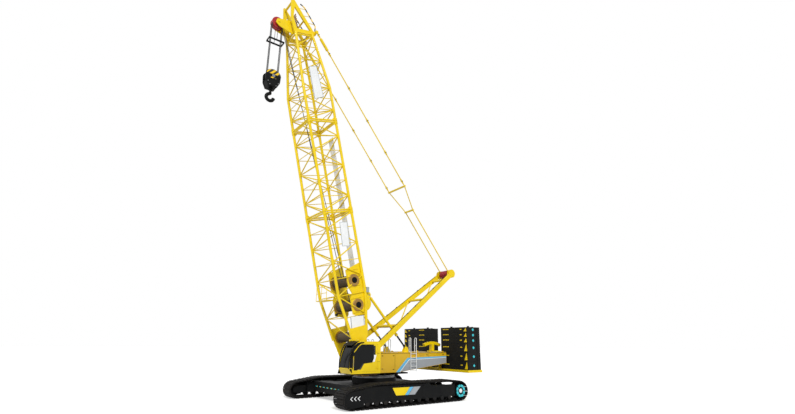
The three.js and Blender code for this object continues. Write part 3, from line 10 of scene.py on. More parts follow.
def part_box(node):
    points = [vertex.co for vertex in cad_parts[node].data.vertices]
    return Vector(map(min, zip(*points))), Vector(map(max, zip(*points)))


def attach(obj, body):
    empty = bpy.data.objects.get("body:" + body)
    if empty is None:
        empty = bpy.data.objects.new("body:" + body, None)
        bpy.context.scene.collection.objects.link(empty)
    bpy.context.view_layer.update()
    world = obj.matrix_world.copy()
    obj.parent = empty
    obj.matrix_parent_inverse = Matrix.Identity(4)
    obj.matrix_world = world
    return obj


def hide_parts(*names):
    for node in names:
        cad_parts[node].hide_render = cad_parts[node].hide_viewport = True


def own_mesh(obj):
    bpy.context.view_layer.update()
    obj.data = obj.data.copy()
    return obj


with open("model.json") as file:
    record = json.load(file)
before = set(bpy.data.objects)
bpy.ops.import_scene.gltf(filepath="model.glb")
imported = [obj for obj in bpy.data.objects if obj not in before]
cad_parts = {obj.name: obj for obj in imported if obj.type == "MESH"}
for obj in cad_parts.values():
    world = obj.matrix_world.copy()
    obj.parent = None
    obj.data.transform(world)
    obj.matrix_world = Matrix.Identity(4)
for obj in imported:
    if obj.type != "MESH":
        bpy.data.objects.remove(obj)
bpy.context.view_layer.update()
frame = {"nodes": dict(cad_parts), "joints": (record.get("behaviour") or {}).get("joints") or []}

# ---------------------------------------------------------------- camera, floor and light
# The crane stands on a plain pale floor in soft light, seen from its front left at about the
# height of its cab. Lengths are metres. Places are measured from the slewing axis at ground
# level, with +X forward, +Y to the left and +Z up, and pivots come from the frame's joints.
pivots = {joint["name"]: np.array(joint["pos_m"], float) for joint in frame["joints"] if "pos_m" in joint}
AXIS = np.array([pivots["slew"][0], 0.0, 0.0])
pivots = {name: place - AXIS for name, place in pivots.items()}

CAMERA_PLACE = np.array([17.957, 26.531, 3.562])
CAMERA_YAW = -2.2128
CAMERA_PITCH = 0.2952
CAMERA_ROLL = 0.0061
SENSOR_WIDTH = 36.0
LENS = 20.24

scene = bpy.context.scene
scene.view_settings.view_transform = "Standard"


def camera_turn(yaw, pitch, roll):
    """Right, up and backward directions of a camera that looks along yaw and pitch, rolled about its view."""
    ahead = Vector((math.cos(yaw) * math.cos(pitch), math.sin(yaw) * math.cos(pitch), math.sin(pitch)))
    right = Vector((math.sin(yaw), -math.cos(yaw), 0.0))
    up = right.cross(ahead)
    tilted = right * math.cos(roll) + up * math.sin(roll)
    lifted = up * math.cos(roll) - right * math.sin(roll)
    return Matrix((tilted, lifted, -ahead)).transposed()


camera = bpy.data.objects.new("camera", bpy.data.cameras.new("camera"))
camera.data.sensor_fit = "HORIZONTAL"
camera.data.sensor_width = SENSOR_WIDTH
camera.data.lens = LENS
camera.data.clip_end = 1000.0
camera.matrix_world = (Matrix.Translation(Vector(CAMERA_PLACE + AXIS))
                       @ camera_turn(CAMERA_YAW, CAMERA_PITCH, CAMERA_ROLL).to_4x4())
scene.collection.objects.link(camera)
scene.camera = camera

WORLD_LIGHT = 0.4
SUNS = (("key", 2.3, (0.35, 0.75, 0.6), 18), ("fill", 0.45, (0.85, -0.1, 0.5), 50),
        ("back", 0.3, (-0.7, -0.3, 0.6), 60))
FLOOR_SIZE = 600.0
FLOOR_SHADE = 0.8
FLOOR_GLOW = 0.42

world = bpy.data.worlds.new("studio")
scene.world = world
world.use_nodes = True


def shade(tree, kind, **inputs):
    """A new shader node. An input takes a value, or a link where it is given another node's output."""
    node = tree.nodes.new(f"ShaderNode{kind}")
    for name, value in inputs.items():
        socket = node.inputs[int(name[1:]) if name[0] == "_" else name.replace("_", " ")]
        if isinstance(value, bpy.types.NodeSocket):
            tree.links.new(value, socket)
        else:
            socket.default_value = value
    return node


def higher(tree, first, second):
    """The higher of two values."""
    node = shade(tree, "Math", _0=first, _1=second)
    node.operation = "MAXIMUM"
    return node.outputs[0]


def seen_directly(tree):
    """One where a ray comes straight from the camera, or by way of gloss or glass, and nought elsewhere."""
    path = shade(tree, "LightPath").outputs
    straight = higher(tree, path["Is Camera Ray"], path["Is Glossy Ray"])
    return higher(tree, straight, path["Is Transmission Ray"])


world.node_tree.nodes.clear()
WHITE = (1, 1, 1, 1)
room = shade(world.node_tree, "Background", Color=WHITE, Strength=WORLD_LIGHT)
backdrop = shade(world.node_tree, "Background", Color=WHITE)
choice = shade(world.node_tree, "MixShader", _0=seen_directly(world.node_tree), _1=room.outputs[0],
               _2=backdrop.outputs[0])
shade(world.node_tree, "OutputWorld", Surface=choice.outputs[0])

for name, strength, direction, softness in SUNS:
    lamp = bpy.data.objects.new(f"sun_{name}", bpy.data.lights.new(f"sun_{name}", "SUN"))
    lamp.data.energy = strength
    lamp.data.angle = math.radians(softness)
    lamp.rotation_euler = Vector(direction).to_track_quat("Z", "Y").to_euler()
    scene.collection.objects.link(lamp)

floor_mesh = bpy.data.meshes.new("floor")
half_floor = FLOOR_SIZE / 2
floor_mesh.from_pydata([(-half_floor, -half_floor, 0), (half_floor, -half_floor, 0),
                        (half_floor, half_floor, 0), (-half_floor, half_floor, 0)], [], [(0, 1, 2, 3)])
floor = bpy.data.objects.new("floor", floor_mesh)
floor.location.z = -0.002
scene.collection.objects.link(floor)
floor_finish = bpy.data.materials.new("pale_floor")
floor_finish.use_nodes = True
floor_tree = floor_finish.node_tree
floor_tree.nodes.clear()
matt = shade(floor_tree, "BsdfDiffuse", Color=(FLOOR_SHADE, FLOOR_SHADE, FLOOR_SHADE, 1)).outputs[0]
glow = shade(floor_tree, "Emission", Strength=FLOOR_GLOW).outputs[0]
bright = shade(floor_tree, "AddShader", _0=matt, _1=glow).outputs[0]
floor_look = shade(floor_tree, "MixShader", _0=seen_directly(floor_tree), _1=matt, _2=bright)
shade(floor_tree, "OutputMaterial", Surface=floor_look.outputs[0])
floor.data.materials.append(floor_finish)

# ---------------------------------------------------------------- tracks
# Each crawler track is a chain of cast steel shoes. A shoe is a flat plate with two raised
# bars, cast in one with two link lugs, a guide lug between them and a pad near each end.
TRACK_Y = pivots["sprocket_left_turn"][1]
SHOE_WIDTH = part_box("track_left")[1].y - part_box("track_left")[0].y
SHOE_COUNT = 66
SHOE_THICKNESS = 0.062
CHAIN_DEPTH = 0.16
TRACK_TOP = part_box("track_left")[1].z
RISE_XS = (2.45, -3.35)


def srgb(code):
    """Linear red, green, blue and one, from a six-figure screen colour."""
    screen = np.array([int(code[i:i + 2], 16) for i in (0, 2, 4)]) / 255.0
    linear = np.where(screen <= 0.04045, screen / 12.92, ((screen + 0.055) / 1.055) ** 2.4)
    return (*linear.tolist(), 1.0)


def mixed(tree, amount, first, second):
    """Two screen colours mixed by an amount."""
    blend = tree.nodes.new("ShaderNodeMix")
    blend.data_type = "RGBA"
    blend.inputs["A"].default_value = srgb(first)
    blend.inputs["B"].default_value = srgb(second)
    tree.links.new(amount, blend.inputs["Factor"])
    return blend.outputs["Result"]


def surface(name, colour, second, patch=1.2, mix=0.5, roughness=(0.4, 0.55), metallic=0.0, coat=0.0,
            grain=60.0, depth=0.1, shine=0.5, spread=(0.4, 0.7)):
    """A finish of two colours in soft patches, with its own range of gloss and a fine grain in the bump."""
    material = bpy.data.materials.new(name)
    material.use_nodes = True
    tree = material.node_tree
    place = shade(tree, "TexCoord").outputs["Object"]
    patches = shade(tree, "TexNoise", Vector=place, Scale=patch, Detail=6.0, Roughness=0.62).outputs["Fac"]
    amount = shade(tree, "MapRange", Value=patches, From_Min=spread[0], From_Max=spread[1], To_Max=mix)
    gloss = shade(tree, "MapRange", Value=patches, From_Min=0.3, From_Max=0.7, To_Min=roughness[0],
                  To_Max=roughness[1])
    fine = shade(tree, "TexNoise", Vector=place, Scale=grain, Detail=3.0)
    bump = shade(tree, "Bump", Height=fine.outputs["Fac"], Strength=depth, Distance=0.01)
    shader = tree.nodes["Principled BSDF"]
    for socket, value in (("Metallic", metallic), ("Coat Weight", coat), ("Specular IOR Level", shine)):
        shader.inputs[socket].default_value = value
    for socket, source in (("Base Color", mixed(tree, amount.outputs["Result"], colour, second)),
                           ("Roughness", gloss.outputs["Result"]), ("Normal", bump.outputs["Normal"])):
        tree.links.new(source, shader.inputs[socket])
    return material


def boxes(low, high):
    """Boxes with square corners: each corner takes the low or the high value of every coordinate."""
    low, high = np.broadcast_arrays(np.atleast_2d(low).astype(float), np.atleast_2d(high).astype(float))
    low, high = np.minimum(low, high), np.maximum(low, high)
    pick = np.array([[0, 0, 0], [1, 0, 0], [1, 1, 0], [0, 1, 0], [0, 0, 1], [1, 0, 1], [1, 1, 1], [0, 1, 1]])
    points = low[:, None] + (high - low)[:, None] * pick
    sides = np.array([[0, 3, 2, 1], [4, 5, 6, 7], [0, 1, 5, 4], [1, 2, 6, 5], [2, 3, 7, 6], [3, 0, 4, 7]])
    faces = (np.arange(len(low)) * 8)[:, None, None] + sides
    return points.reshape(-1, 3), [faces.reshape(-1, 4)]


def build(name, parts, body, replaces=(), bevel=0.0, angle=35.0):
    """One mesh from (material, shapes) pairs, moved from the slewing axis to the frame and put on its body."""
    points, faces, indices, start = [], [], [], 0
    mesh = bpy.data.meshes.new(name)
    for index, (material, shapes) in enumerate(parts):
        mesh.materials.append(material)
        for shape_points, face_rows in shapes:
            points.append(shape_points)
            for rows in face_rows:
                faces.extend((rows + start).tolist())
                indices.extend([index] * len(rows))
            start += len(shape_points)
    mesh.from_pydata(np.concatenate(points) + AXIS, [], faces)
    mesh.polygons.foreach_set("material_index", indices)
    mesh.polygons.foreach_set("use_smooth", [True] * len(faces))
    mesh.set_sharp_from_angle(angle=math.radians(angle))
    mesh.validate()
    piece = bpy.data.objects.new(name, mesh)
    scene.collection.objects.link(piece)
    if bevel:
        soften = piece.modifiers.new("soft edges", "BEVEL")
        soften.width = bevel
        soften.segments = 2
        soften.limit_method = "ANGLE"
        soften.angle_limit = math.radians(angle)
        soften.harden_normals = True
    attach(piece, body)
    if replaces:
        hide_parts(*replaces)
    return piece


track_steel = surface("track_steel", "1b1b1c", "37332e", patch=2.6, mix=0.55, roughness=(0.5, 0.75),
                      metallic=0.2, grain=45.0, depth=0.3, shine=0.08)


def chain_path(front, rear, front_radius, rear_radius, count):
    """Evenly spaced points round the two end wheels, along the ground and along the raised top run.

    Each wheel is an arc whose ends touch the straight runs; all of it is then read at equal lengths."""
    def touch(centre, radius, corner, sign):
        gap = np.array(corner) - centre
        return math.atan2(gap[1], gap[0]) - sign * math.acos(radius / np.hypot(*gap))
    high = (RISE_XS[0], TRACK_TOP)
    back = (RISE_XS[1], TRACK_TOP)
    ahead = np.linspace(-math.pi / 2, touch(front, front_radius, high, 1), 60)
    behind = np.linspace(touch(rear, rear_radius, back, -1), 1.5 * math.pi, 60)
    outline = np.concatenate([
        front + front_radius * np.stack([np.cos(ahead), np.sin(ahead)], 1), [high], [back],
        rear + rear_radius * np.stack([np.cos(behind), np.sin(behind)], 1), [[front[0], 0.0]]])
    run = np.concatenate([[0], np.cumsum(np.linalg.norm(np.diff(outline, axis=0), axis=1))])
    even = np.linspace(0, run[-1], count + 1)
    return np.stack([np.interp(even, run, outline[:, k]) for k in (0, 1)], 1)


def carried(shape, origins, along, out):
    """Copies of a shape: its first coordinate runs along each copy's direction, and its third outward."""
    points, faces = shape
    placed = (origins[:, None, [0, 1]] + points[None, :, [0]] * along[:, None]
              + points[None, :, [2]] * out[:, None])
    across = np.broadcast_to(points[None, :, 1], placed.shape[:2])
    whole = np.stack([placed[..., 0], across, placed[..., 1]], 2).reshape(-1, 3)
    steps = (np.arange(len(origins)) * len(points))[:, None, None]
    return whole, [(rows[None] + steps).reshape(-1, rows.shape[1]) for rows in faces]


for hand, side in (("left", 1), ("right", -1)):
    idler = pivots[f"idler_{hand}_turn"]
    sprocket = pivots[f"sprocket_{hand}_turn"]
    ring = chain_path(idler[[0, 2]], sprocket[[0, 2]], idler[2], sprocket[2], SHOE_COUNT)
    middle = (ring[1:] + ring[:-1]) / 2
    along = np.diff(ring, axis=0)
    pitch = np.linalg.norm(along, axis=1).mean()
    along /= np.linalg.norm(along, axis=1)[:, None]
    out = np.stack([along[:, 1], -along[:, 0]], 1)
    y = side * TRACK_Y
    half = SHOE_WIDTH / 2
    tip = half - 0.09
    plate = boxes([[-0.42 * pitch, y - half, -SHOE_THICKNESS], [-0.34 * pitch, y - tip, -0.055],
                   [0.02 * pitch, y - tip, -0.055]],
                  [[0.42 * pitch, y + half, -0.036], [-0.06 * pitch, y + tip, 0.0],
                   [0.32 * pitch, y + tip, 0.0]])
    lugs = boxes([[-0.5 * pitch, y - 0.235, -CHAIN_DEPTH], [-0.5 * pitch, y + 0.115, -CHAIN_DEPTH],
                  [-0.16 * pitch, y - 0.09, -CHAIN_DEPTH + 0.01], [-0.3 * pitch, y - half + 0.05, -0.085],
                  [-0.3 * pitch, y + half - 0.2, -0.085]],
                 [[0.49 * pitch, y - 0.115, -0.045], [0.49 * pitch, y + 0.235, -0.045],
                  [0.16 * pitch, y + 0.09, -0.045], [0.3 * pitch, y - half + 0.2, -0.045],
                  [0.3 * pitch, y + half - 0.05, -0.045]])
    shoes = [carried(shape, middle, along, out) for shape in (plate, lugs)]
    build(f"track_shoes_{hand}", [(track_steel, shoes)], "undercarriage",
          replaces=(f"track_{hand}",), bevel=0.008)

# ---------------------------------------------------------------- boom sections
# The lattice boom is three welded sections of round tube: four chords, a zigzag of lacing and
# cross tubes on every face. Square frames and pinned clevises join one section to the next.
BOOM_TILT = math.radians(76.2)
BOOM_FOOT = pivots["boom_luff"]
FOOT_BEND, TOP_BEND, BOOM_LENGTH = 4.55, 19.0, 23.3
JOINTS = (10.08, 16.48)
HALF_WIDTHS = ((0.0, FOOT_BEND, TOP_BEND, BOOM_LENGTH), (1.28, 1.25, 1.25, 0.75))
HALF_DEPTHS = ((0.0, FOOT_BEND, TOP_BEND, BOOM_LENGTH), (0.215, 1.04, 1.04, 0.65))
CHORD, LACING, CROSS = 0.095, 0.042, 0.027
CORNERS = ((1, -1), (1, 1), (-1, 1), (-1, -1))


def on_boom(points):
    """Places given as distance along the boom, across, and square to it towards its back."""
    along, across, out = np.moveaxis(np.asarray(points, float), -1, 0)
    return np.stack([BOOM_FOOT[0] + along * math.cos(BOOM_TILT) - out * math.sin(BOOM_TILT), across,
                     BOOM_FOOT[2] + along * math.sin(BOOM_TILT) + out * math.cos(BOOM_TILT)], -1)


def chord_point(along, corner):
    """A point on the line of one chord, in boom places."""
    return [along, corner[0] * np.interp(along, *HALF_WIDTHS), corner[1] * np.interp(along, *HALF_DEPTHS)]


def tubes(starts, ends, radius, sides=10, end_radius=None):
    """Closed round bars: a ring of points square to the bar at each end, joined round and capped."""
    starts, ends = np.atleast_2d(starts).astype(float), np.atleast_2d(ends).astype(float)
    along = ends - starts
    along /= np.linalg.norm(along, axis=1)[:, None]
    helper = np.where(np.abs(along[:, [1]]) < 0.9, [[0.0, 1.0, 0.0]], [[1.0, 0.0, 0.0]])
    first = np.cross(helper, along)
    first /= np.linalg.norm(first, axis=1)[:, None]
    second = np.cross(along, first)
    turn = np.arange(sides) * 2 * math.pi / sides
    ring = np.cos(turn)[None, :, None] * first[:, None] + np.sin(turn)[None, :, None] * second[:, None]
    far = radius if end_radius is None else end_radius
    points = np.stack([starts[:, None] + radius * ring, ends[:, None] + far * ring], 1).reshape(-1, 3)
    k = np.arange(sides)
    wall = np.stack([k, (k + 1) % sides, sides + (k + 1) % sides, sides + k], 1)
    caps = np.stack([k[::-1], sides + k])
    step = (np.arange(len(starts)) * 2 * sides)[:, None, None]
    return points, [(wall[None] + step).reshape(-1, 4), (caps[None] + step).reshape(-1, sides)]


def walls(count, sides, closed):
    """Faces between rings of points, joined end to end when closed and capped at both ends when not."""
    i = np.arange(count if closed else count - 1)[:, None] * sides
    k = np.arange(sides)[None, :]
    far = (i + sides) % (count * sides)
    wall = np.stack([i + k, i + (k + 1) % sides, far + (k + 1) % sides, far + k], 2).reshape(-1, 4)
    caps = np.stack([k[0, ::-1], (count - 1) * sides + k[0]])
    return [wall] if closed else [wall, caps]


def sweep(path, radius, sides=10, closed=False):
    """A round bar along a path of points. Each ring is turned from the one before by the path's own bend."""
    path = np.asarray(path, float)
    step = np.roll(path, -1, 0) - path
    step /= np.linalg.norm(step, axis=1)[:, None]
    if closed:
        along = step + np.roll(step, 1, 0)
    else:
        along = np.concatenate([step[:1], step[:-2] + step[1:-1], step[-2:-1]])
    along /= np.linalg.norm(along, axis=1)[:, None]
    side = np.cross(along[0], [0.0, 1.0, 0.0] if abs(along[0][1]) < 0.9 else [1.0, 0.0, 0.0])
    turn = np.arange(sides) * 2 * math.pi / sides
    rings = []
    for place, ahead in zip(path, along):
        side = side - ahead * (side @ ahead)
        side /= np.linalg.norm(side)
        ring = np.cos(turn)[:, None] * side + np.sin(turn)[:, None] * np.cross(ahead, side)
        rings.append(place + radius * ring)
    return np.concatenate(rings), walls(len(path), sides, closed)


def turned(profile, centre, axis=(0, 1, 0), sides=32, ringed=False):
    """A shape turned about a shaft from (along, radius) points. A ringed profile closes round a bore."""
    profile = np.asarray(profile, float)
    loop = profile if ringed else np.concatenate([profile, [[profile[-1, 0], 0], [profile[0, 0], 0]]])
    nxt = np.roll(loop, -1, 0)
    if (loop[:, 0] * nxt[:, 1] - nxt[:, 0] * loop[:, 1]).sum() > 0:
        profile = profile[::-1]
    axis = np.asarray(axis, float)
    axis = axis / np.linalg.norm(axis)
    first = np.cross([0.0, 1.0, 0.0] if abs(axis[1]) < 0.9 else [1.0, 0.0, 0.0], axis)
    first /= np.linalg.norm(first)
    turn = np.arange(sides) * 2 * math.pi / sides
    ring = np.cos(turn)[:, None] * first + np.sin(turn)[:, None] * np.cross(axis, first)
    points = np.asarray(centre, float) + profile[:, None, [0]] * axis + profile[:, None, [1]] * ring
    return points.reshape(-1, 3), walls(len(profile), sides, ringed)


def prism(outline, low, high, axis=1):
    """A flat outline, given in the other two directions, carried from low to high along one axis."""
    outline = np.asarray(outline, float)
    nxt = np.roll(outline, -1, 0)
    area = (outline[:, 0] * nxt[:, 1] - nxt[:, 0] * outline[:, 1]).sum()
    if (area < 0) != (axis == 1):
        outline = outline[::-1]
    low, high = min(low, high), max(low, high)
    ends = [np.insert(outline, axis, level, axis=1) for level in (low, high)]
    count = len(outline)
    k = np.arange(count)
    wall = np.stack([k, (k + 1) % count, count + (k + 1) % count, count + k], 1)
    return np.concatenate(ends), [wall, np.stack([k[::-1], count + k])]


def mirror(shape):
    """The same shape on the machine's other side, with its faces still outward."""
    points, faces = shape
    return points * [1, -1, 1], [rows[:, ::-1] for rows in faces]


def both(shapes):
    """The shapes of one side and then of the other."""
    return shapes + [mirror(shape) for shape in shapes]


def on_side(hand, groups):
    """(material, shapes) pairs made for the left side, mirrored for the right."""
    if hand == "left":
        return groups
    return [(paint, [mirror(shape) for shape in shapes]) for paint, shapes in groups]


def rectangle(low, high):
    """The outline of a rectangle from two of its corners."""
    return [[low[0], low[1]], [high[0], low[1]], [high[0], high[1]], [low[0], high[1]]]


def arc(centre, reach, start, end, count):
    """Points round a centre: it goes out along each direction by reach times the cosine and the sine."""
    turn = np.linspace(start, end, count)
    return np.asarray(centre, float) + np.stack([np.cos(turn), np.sin(turn)], 1) * reach


def bolt_circle(centre, radius, count, length, size):
    """Hexagonal bolt heads spaced evenly round a shaft that lies across the machine."""
    turn = np.arange(count) * 2 * math.pi / count
    spots = centre + np.stack([radius * np.cos(turn), np.zeros(count), radius * np.sin(turn)], 1)
    return tubes(spots, spots + [0, length, 0], size, 6)


def boom_plate(outline, low, high):
    """A plate whose outline is given along and square to the boom."""
    flat = on_boom([[along, 0.0, out] for along, out in outline])
    return prism(flat[:, [0, 2]], low, high)


def evenly(start, end, count):
    """The ends of equal bays, both outer ends among them."""
    return np.linspace(start, end, count + 1).tolist()


def lattice(stations, open_faces=()):
    """Chords, lacing from corner to corner of each bay, and a cross tube at every station of every face."""
    first, last = stations[0], stations[-1]
    bends = [first] + [bend for bend in (FOOT_BEND, TOP_BEND) if first < bend < last] + [last]
    shapes, starts, ends, levels, crossings = [], [], [], [], []
    for corner in CORNERS:
        shapes.append(sweep(on_boom([chord_point(bend, corner) for bend in bends]), CHORD, 16))
    for k, corner in enumerate(CORNERS):
        if k in open_faces:
            continue
        following = CORNERS[(k + 1) % 4]
        for i, (near, far) in enumerate(zip(stations, stations[1:])):
            near, far = max(near, first + 0.12), min(far, last - 0.12)
            swap = (i + k) % 2 == 1
            starts.append(chord_point(near, following if swap else corner))
            ends.append(chord_point(far, corner if swap else following))
        for level in stations[1:-1]:
            levels.append(chord_point(level, corner))
            crossings.append(chord_point(level, following))
    shapes.append(tubes(on_boom(starts), on_boom(ends), LACING))
    shapes.append(tubes(on_boom(levels), on_boom(crossings), CROSS))
    return shapes


def square_frame(level, radius):
    """A stout tube from chord to chord across each face, at one place along the boom."""
    corners = on_boom([chord_point(level, corner) for corner in CORNERS])
    return tubes(corners, np.roll(corners, -1, 0), radius, 12)


def section_end(along, inward):
    """A square end frame of stouter tube, with a clevis and its cross pin on every chord."""
    level = along + inward * 0.07
    shapes = [square_frame(level, 0.06)]
    for corner in CORNERS:
        _, across, out = chord_point(along, corner)
        shapes.append(tubes(on_boom([along + inward * 0.01, across, out]),
                            on_boom([along + inward * 0.2, across, out]), 0.118, 18))
        shapes.append(tubes(on_boom([along + inward * 0.1, across - 0.128, out]),
                            on_boom([along + inward * 0.1, across + 0.128, out]), 0.042, 12))
        gusset = [[level, out - corner[1] * 0.05], [level, out - corner[1] * 0.34],
                  [level + inward * 0.28, out - corner[1] * 0.05]]
        shapes.append(boom_plate(gusset, across - 0.012, across + 0.012))
    return shapes


yellow = surface("crane_yellow", "eccd00", "cfae00", patch=0.8, roughness=(0.36, 0.52), coat=0.06, shine=0.35,
                 grain=25.0, depth=0.04)
worn_steel = surface("bare_steel", "8b8d8f", "5b5751", patch=3.0, mix=0.6, roughness=(0.28, 0.45),
                     metallic=0.85, grain=90.0)
black_paint = surface("black_paint", "0f1011", "1b1b1a", patch=0.9, mix=0.6, roughness=(0.4, 0.6), grain=35.0,
                      depth=0.06, shine=0.08)
winch_brown = surface("winch_brown", "a07a2e", "6b4d22", patch=1.8, mix=0.6, roughness=(0.4, 0.6),
                      metallic=0.2, grain=40.0)
white_panel = surface("white_panel", "eceeee", "d7dadb", patch=0.9, grain=30.0, depth=0.03)
grey_paint = surface("grey_paint", "9aa3a6", "848b8d", patch=1.1, roughness=(0.4, 0.6), grain=40.0, depth=0.06)

leg_outline = [[-0.115, -0.06], [-0.06, -0.115], [0.3, -0.15], [2.05, -0.56], [2.45, -0.66], [2.45, 0.66],
               [2.05, 0.56], [0.3, 0.15], [-0.06, 0.115], [-0.115, 0.06]]
ear_outline = [[3.9, 0.82], [4.65, 0.94], [4.42, 1.4], [4.256, 1.46], [4.1, 1.4]]
ear_base = [[3.96, 0.84], [4.62, 0.93], [4.62, 0.99], [3.96, 0.9]]
winch_plate = [[2.9, 0.71], [3.25, -0.15], [4.3, -0.15], [4.6, 0.04], [5.0, -0.15], [6.15, -0.15],
               [6.5, 1.03], [3.15, 0.91]]
BACKSTOP_Y = pivots["backstop_left_pivot"][1]
UPPER_DRUM, LOWER_DRUM, LUFFING_DRUM = 5.4, 3.78, 1.8
DRUM_OUT = 0.33
LEG_Y, WINCH_PLATE_Y = 1.28, 1.125
HUB_WIDTH = 0.165
foot_shapes = lattice([1.7, 3.15, FOOT_BEND] + evenly(FOOT_BEND, JOINTS[0], 5)[1:], open_faces=(1,))
foot_shapes += section_end(JOINTS[0], -1)
half_brown, half_dark = [], []
half_shapes = [boom_plate(leg_outline, LEG_Y - 0.085, LEG_Y + 0.085),
               boom_plate(winch_plate, WINCH_PLATE_Y, WINCH_PLATE_Y + 0.06),
               boom_plate(ear_base, BACKSTOP_Y - 0.09, BACKSTOP_Y + 0.13)]
rim = np.array(leg_outline)
for row in (2, 5):
    half_shapes.append(sweep(on_boom(np.insert(rim[row:row + 3], 1, LEG_Y, axis=1)), 0.05, 8))
for offset in (-0.082, 0.082):
    half_shapes.append(boom_plate(ear_outline, BACKSTOP_Y + offset - 0.013, BACKSTOP_Y + offset + 0.013))
half_shapes.append(turned([(0.0, 0.26), (0.15, 0.26), (0.17, 0.22), (0.185, 0.1)],
                          on_boom([LUFFING_DRUM, 1.19, 0.0])))
for along in (UPPER_DRUM, LOWER_DRUM):
    face = on_boom([along, WINCH_PLATE_Y, DRUM_OUT])
    half_shapes.append(turned([(0.03, 0.47), (0.065, 0.47), (0.08, 0.45)], face, sides=48))
    half_brown.append(turned([(0.03, 0.41), (0.105, 0.41), (0.135, 0.36), (HUB_WIDTH, 0.36)], face, sides=48))
    half_dark.append(turned([(0.155, 0.2), (HUB_WIDTH + 0.01, 0.2), (HUB_WIDTH + 0.02, 0.17)], face))
for rib in (3.35, 4.25, 5.05, 6.1):
    half_shapes.append(boom_plate(rectangle((rib - 0.02, -0.1), (rib + 0.02, 0.8)), 1.18, 1.235))
half_shapes.append(boom_plate(arc((LOWER_DRUM, 0.86), 0.5, 0, 2 * math.pi, 28)[:-1], 1.19, 1.215))
foot_shapes += both(half_shapes)
pin = pivots["backstop_left_pivot"]
foot_steel = []
for side in (1, -1):
    foot_steel.append(tubes(on_boom([0.0, side * 1.19, 0.0]), on_boom([0.0, side * 1.37, 0.0]), 0.105, 24))
    foot_steel.append(tubes(pin * [1, 0, 1] + [0, side * (BACKSTOP_Y - 0.11), 0],
                            pin * [1, 0, 1] + [0, side * (BACKSTOP_Y + 0.11), 0], 0.052, 18))
for along in (UPPER_DRUM, LOWER_DRUM):
    for side in (1, -1):
        foot_steel.append(bolt_circle(on_boom([along, side * 1.27, DRUM_OUT]), 0.28, 10, side * 0.03, 0.022))
for along, out, reach in ((UPPER_DRUM, DRUM_OUT, 1.12), (LOWER_DRUM, DRUM_OUT, 1.12),
                          (LUFFING_DRUM, 0.0, 1.19)):
    foot_steel.append(tubes(on_boom([along, -reach, out]), on_boom([along, reach, out]), 0.078, 24))
build("boom_foot_looks", [(yellow, foot_shapes), (worn_steel, foot_steel), (winch_brown, both(half_brown)),
                          (black_paint, both(half_dark))],
      "boom", replaces=("boom_foot_section",))

middle_shapes = lattice(evenly(JOINTS[0], JOINTS[1], 6))
middle_shapes += section_end(JOINTS[0], 1) + section_end(JOINTS[1], -1)
build("boom_middle_looks", [(yellow, middle_shapes)], "boom", replaces=("boom_middle_section",))

top_shapes = lattice(evenly(JOINTS[1], TOP_BEND, 3) + evenly(TOP_BEND, BOOM_LENGTH, 4)[1:])
top_shapes += section_end(JOINTS[1], 1)
top_shapes.append(square_frame(BOOM_LENGTH - 0.14, 0.055))
for across, out in CORNERS:
    lug = rectangle((BOOM_LENGTH - 0.13, out * 0.65 - 0.085), (BOOM_LENGTH + 0.02, out * 0.65 + 0.085))
    top_shapes.append(boom_plate(lug, across * 0.75 - 0.085, across * 0.75 + 0.085))
build("boom_top_looks", [(yellow, top_shapes)], "boom", replaces=("boom_top_section",))

# ---------------------------------------------------------------- boom head
# The head is a pair of triangular side frames with cross tubes. It carries the hoist sheaves
# forward, striped guard rails along its sloping beams and a hazard board across its base.
HAZARD_PITCH = 0.42


def cad_copy(name, body, material, bevel=0.008, angle=30.0):
    """A CAD node with its corners merged and its flat faces joined, ready for soft edges and a real finish."""
    work = bmesh.new()
    work.from_mesh(frame["nodes"][name].data)
    bmesh.ops.remove_doubles(work, verts=work.verts, dist=2e-5)
    bmesh.ops.dissolve_limit(work, angle_limit=math.radians(0.6), verts=work.verts, edges=work.edges)
    work.verts.ensure_lookup_table()
    points = np.array([vert.co for vert in work.verts]) - AXIS
    sizes = {}
    for face in work.faces:
        sizes.setdefault(len(face.verts), []).append([vert.index for vert in face.verts])
    work.free()
    shape = (points, [np.array(rows) for rows in sizes.values()])
    return build(f"{name}_looks", [(material, [shape])], body, replaces=(name,), bevel=bevel, angle=angle)


def striped(name, first, second, pitch, direction, roughness=0.45):
    """Paint in slanted stripes of two colours: a wave along one direction, cut hard at its middle."""
    material = bpy.data.materials.new(name)
    material.use_nodes = True
    tree = material.node_tree
    run = shade(tree, "VectorMath", _0=shade(tree, "TexCoord").outputs["Object"],
                _1=tuple(np.array(direction) / np.linalg.norm(direction) / pitch))
    run.operation = "DOT_PRODUCT"
    share = shade(tree, "Math", _0=run.outputs["Value"])
    share.operation = "FRACT"
    cut = shade(tree, "Math", _0=share.outputs[0], _1=0.5)
    cut.operation = "GREATER_THAN"
    shader = tree.nodes["Principled BSDF"]
    tree.links.new(mixed(tree, cut.outputs[0], first, second), shader.inputs["Base Color"])
    shader.inputs["Roughness"].default_value = roughness
    return material


red_paint = surface("sheave_red", "a01015", "6d0d10", patch=1.6, roughness=(0.35, 0.5), grain=30.0, depth=0.05)
greased_rope = surface("greased_rope", "54452c", "2f281c", patch=30.0, mix=0.6, roughness=(0.4, 0.6),
                       metallic=0.3, grain=160.0, depth=0.5)
block_hazard = striped("block_stripes", "f0c400", "141414", 0.27, (0.75, 0.0, 0.66))
rope_steel = surface("wire_rope", "37383a", "5a5b5c", patch=30.0, mix=0.6, roughness=(0.35, 0.5), metallic=0.7,
                     grain=160.0, depth=0.5)
hazard = striped("hazard_stripes", "f2c811", "161616", HAZARD_PITCH, (0.5, 0.7, 0.9))
white_black = striped("white_black_stripes", "e9e9e6", "161616", HAZARD_PITCH, (0.2, 1.0, 0.5))
cad_copy("boom_head", "boom", yellow)

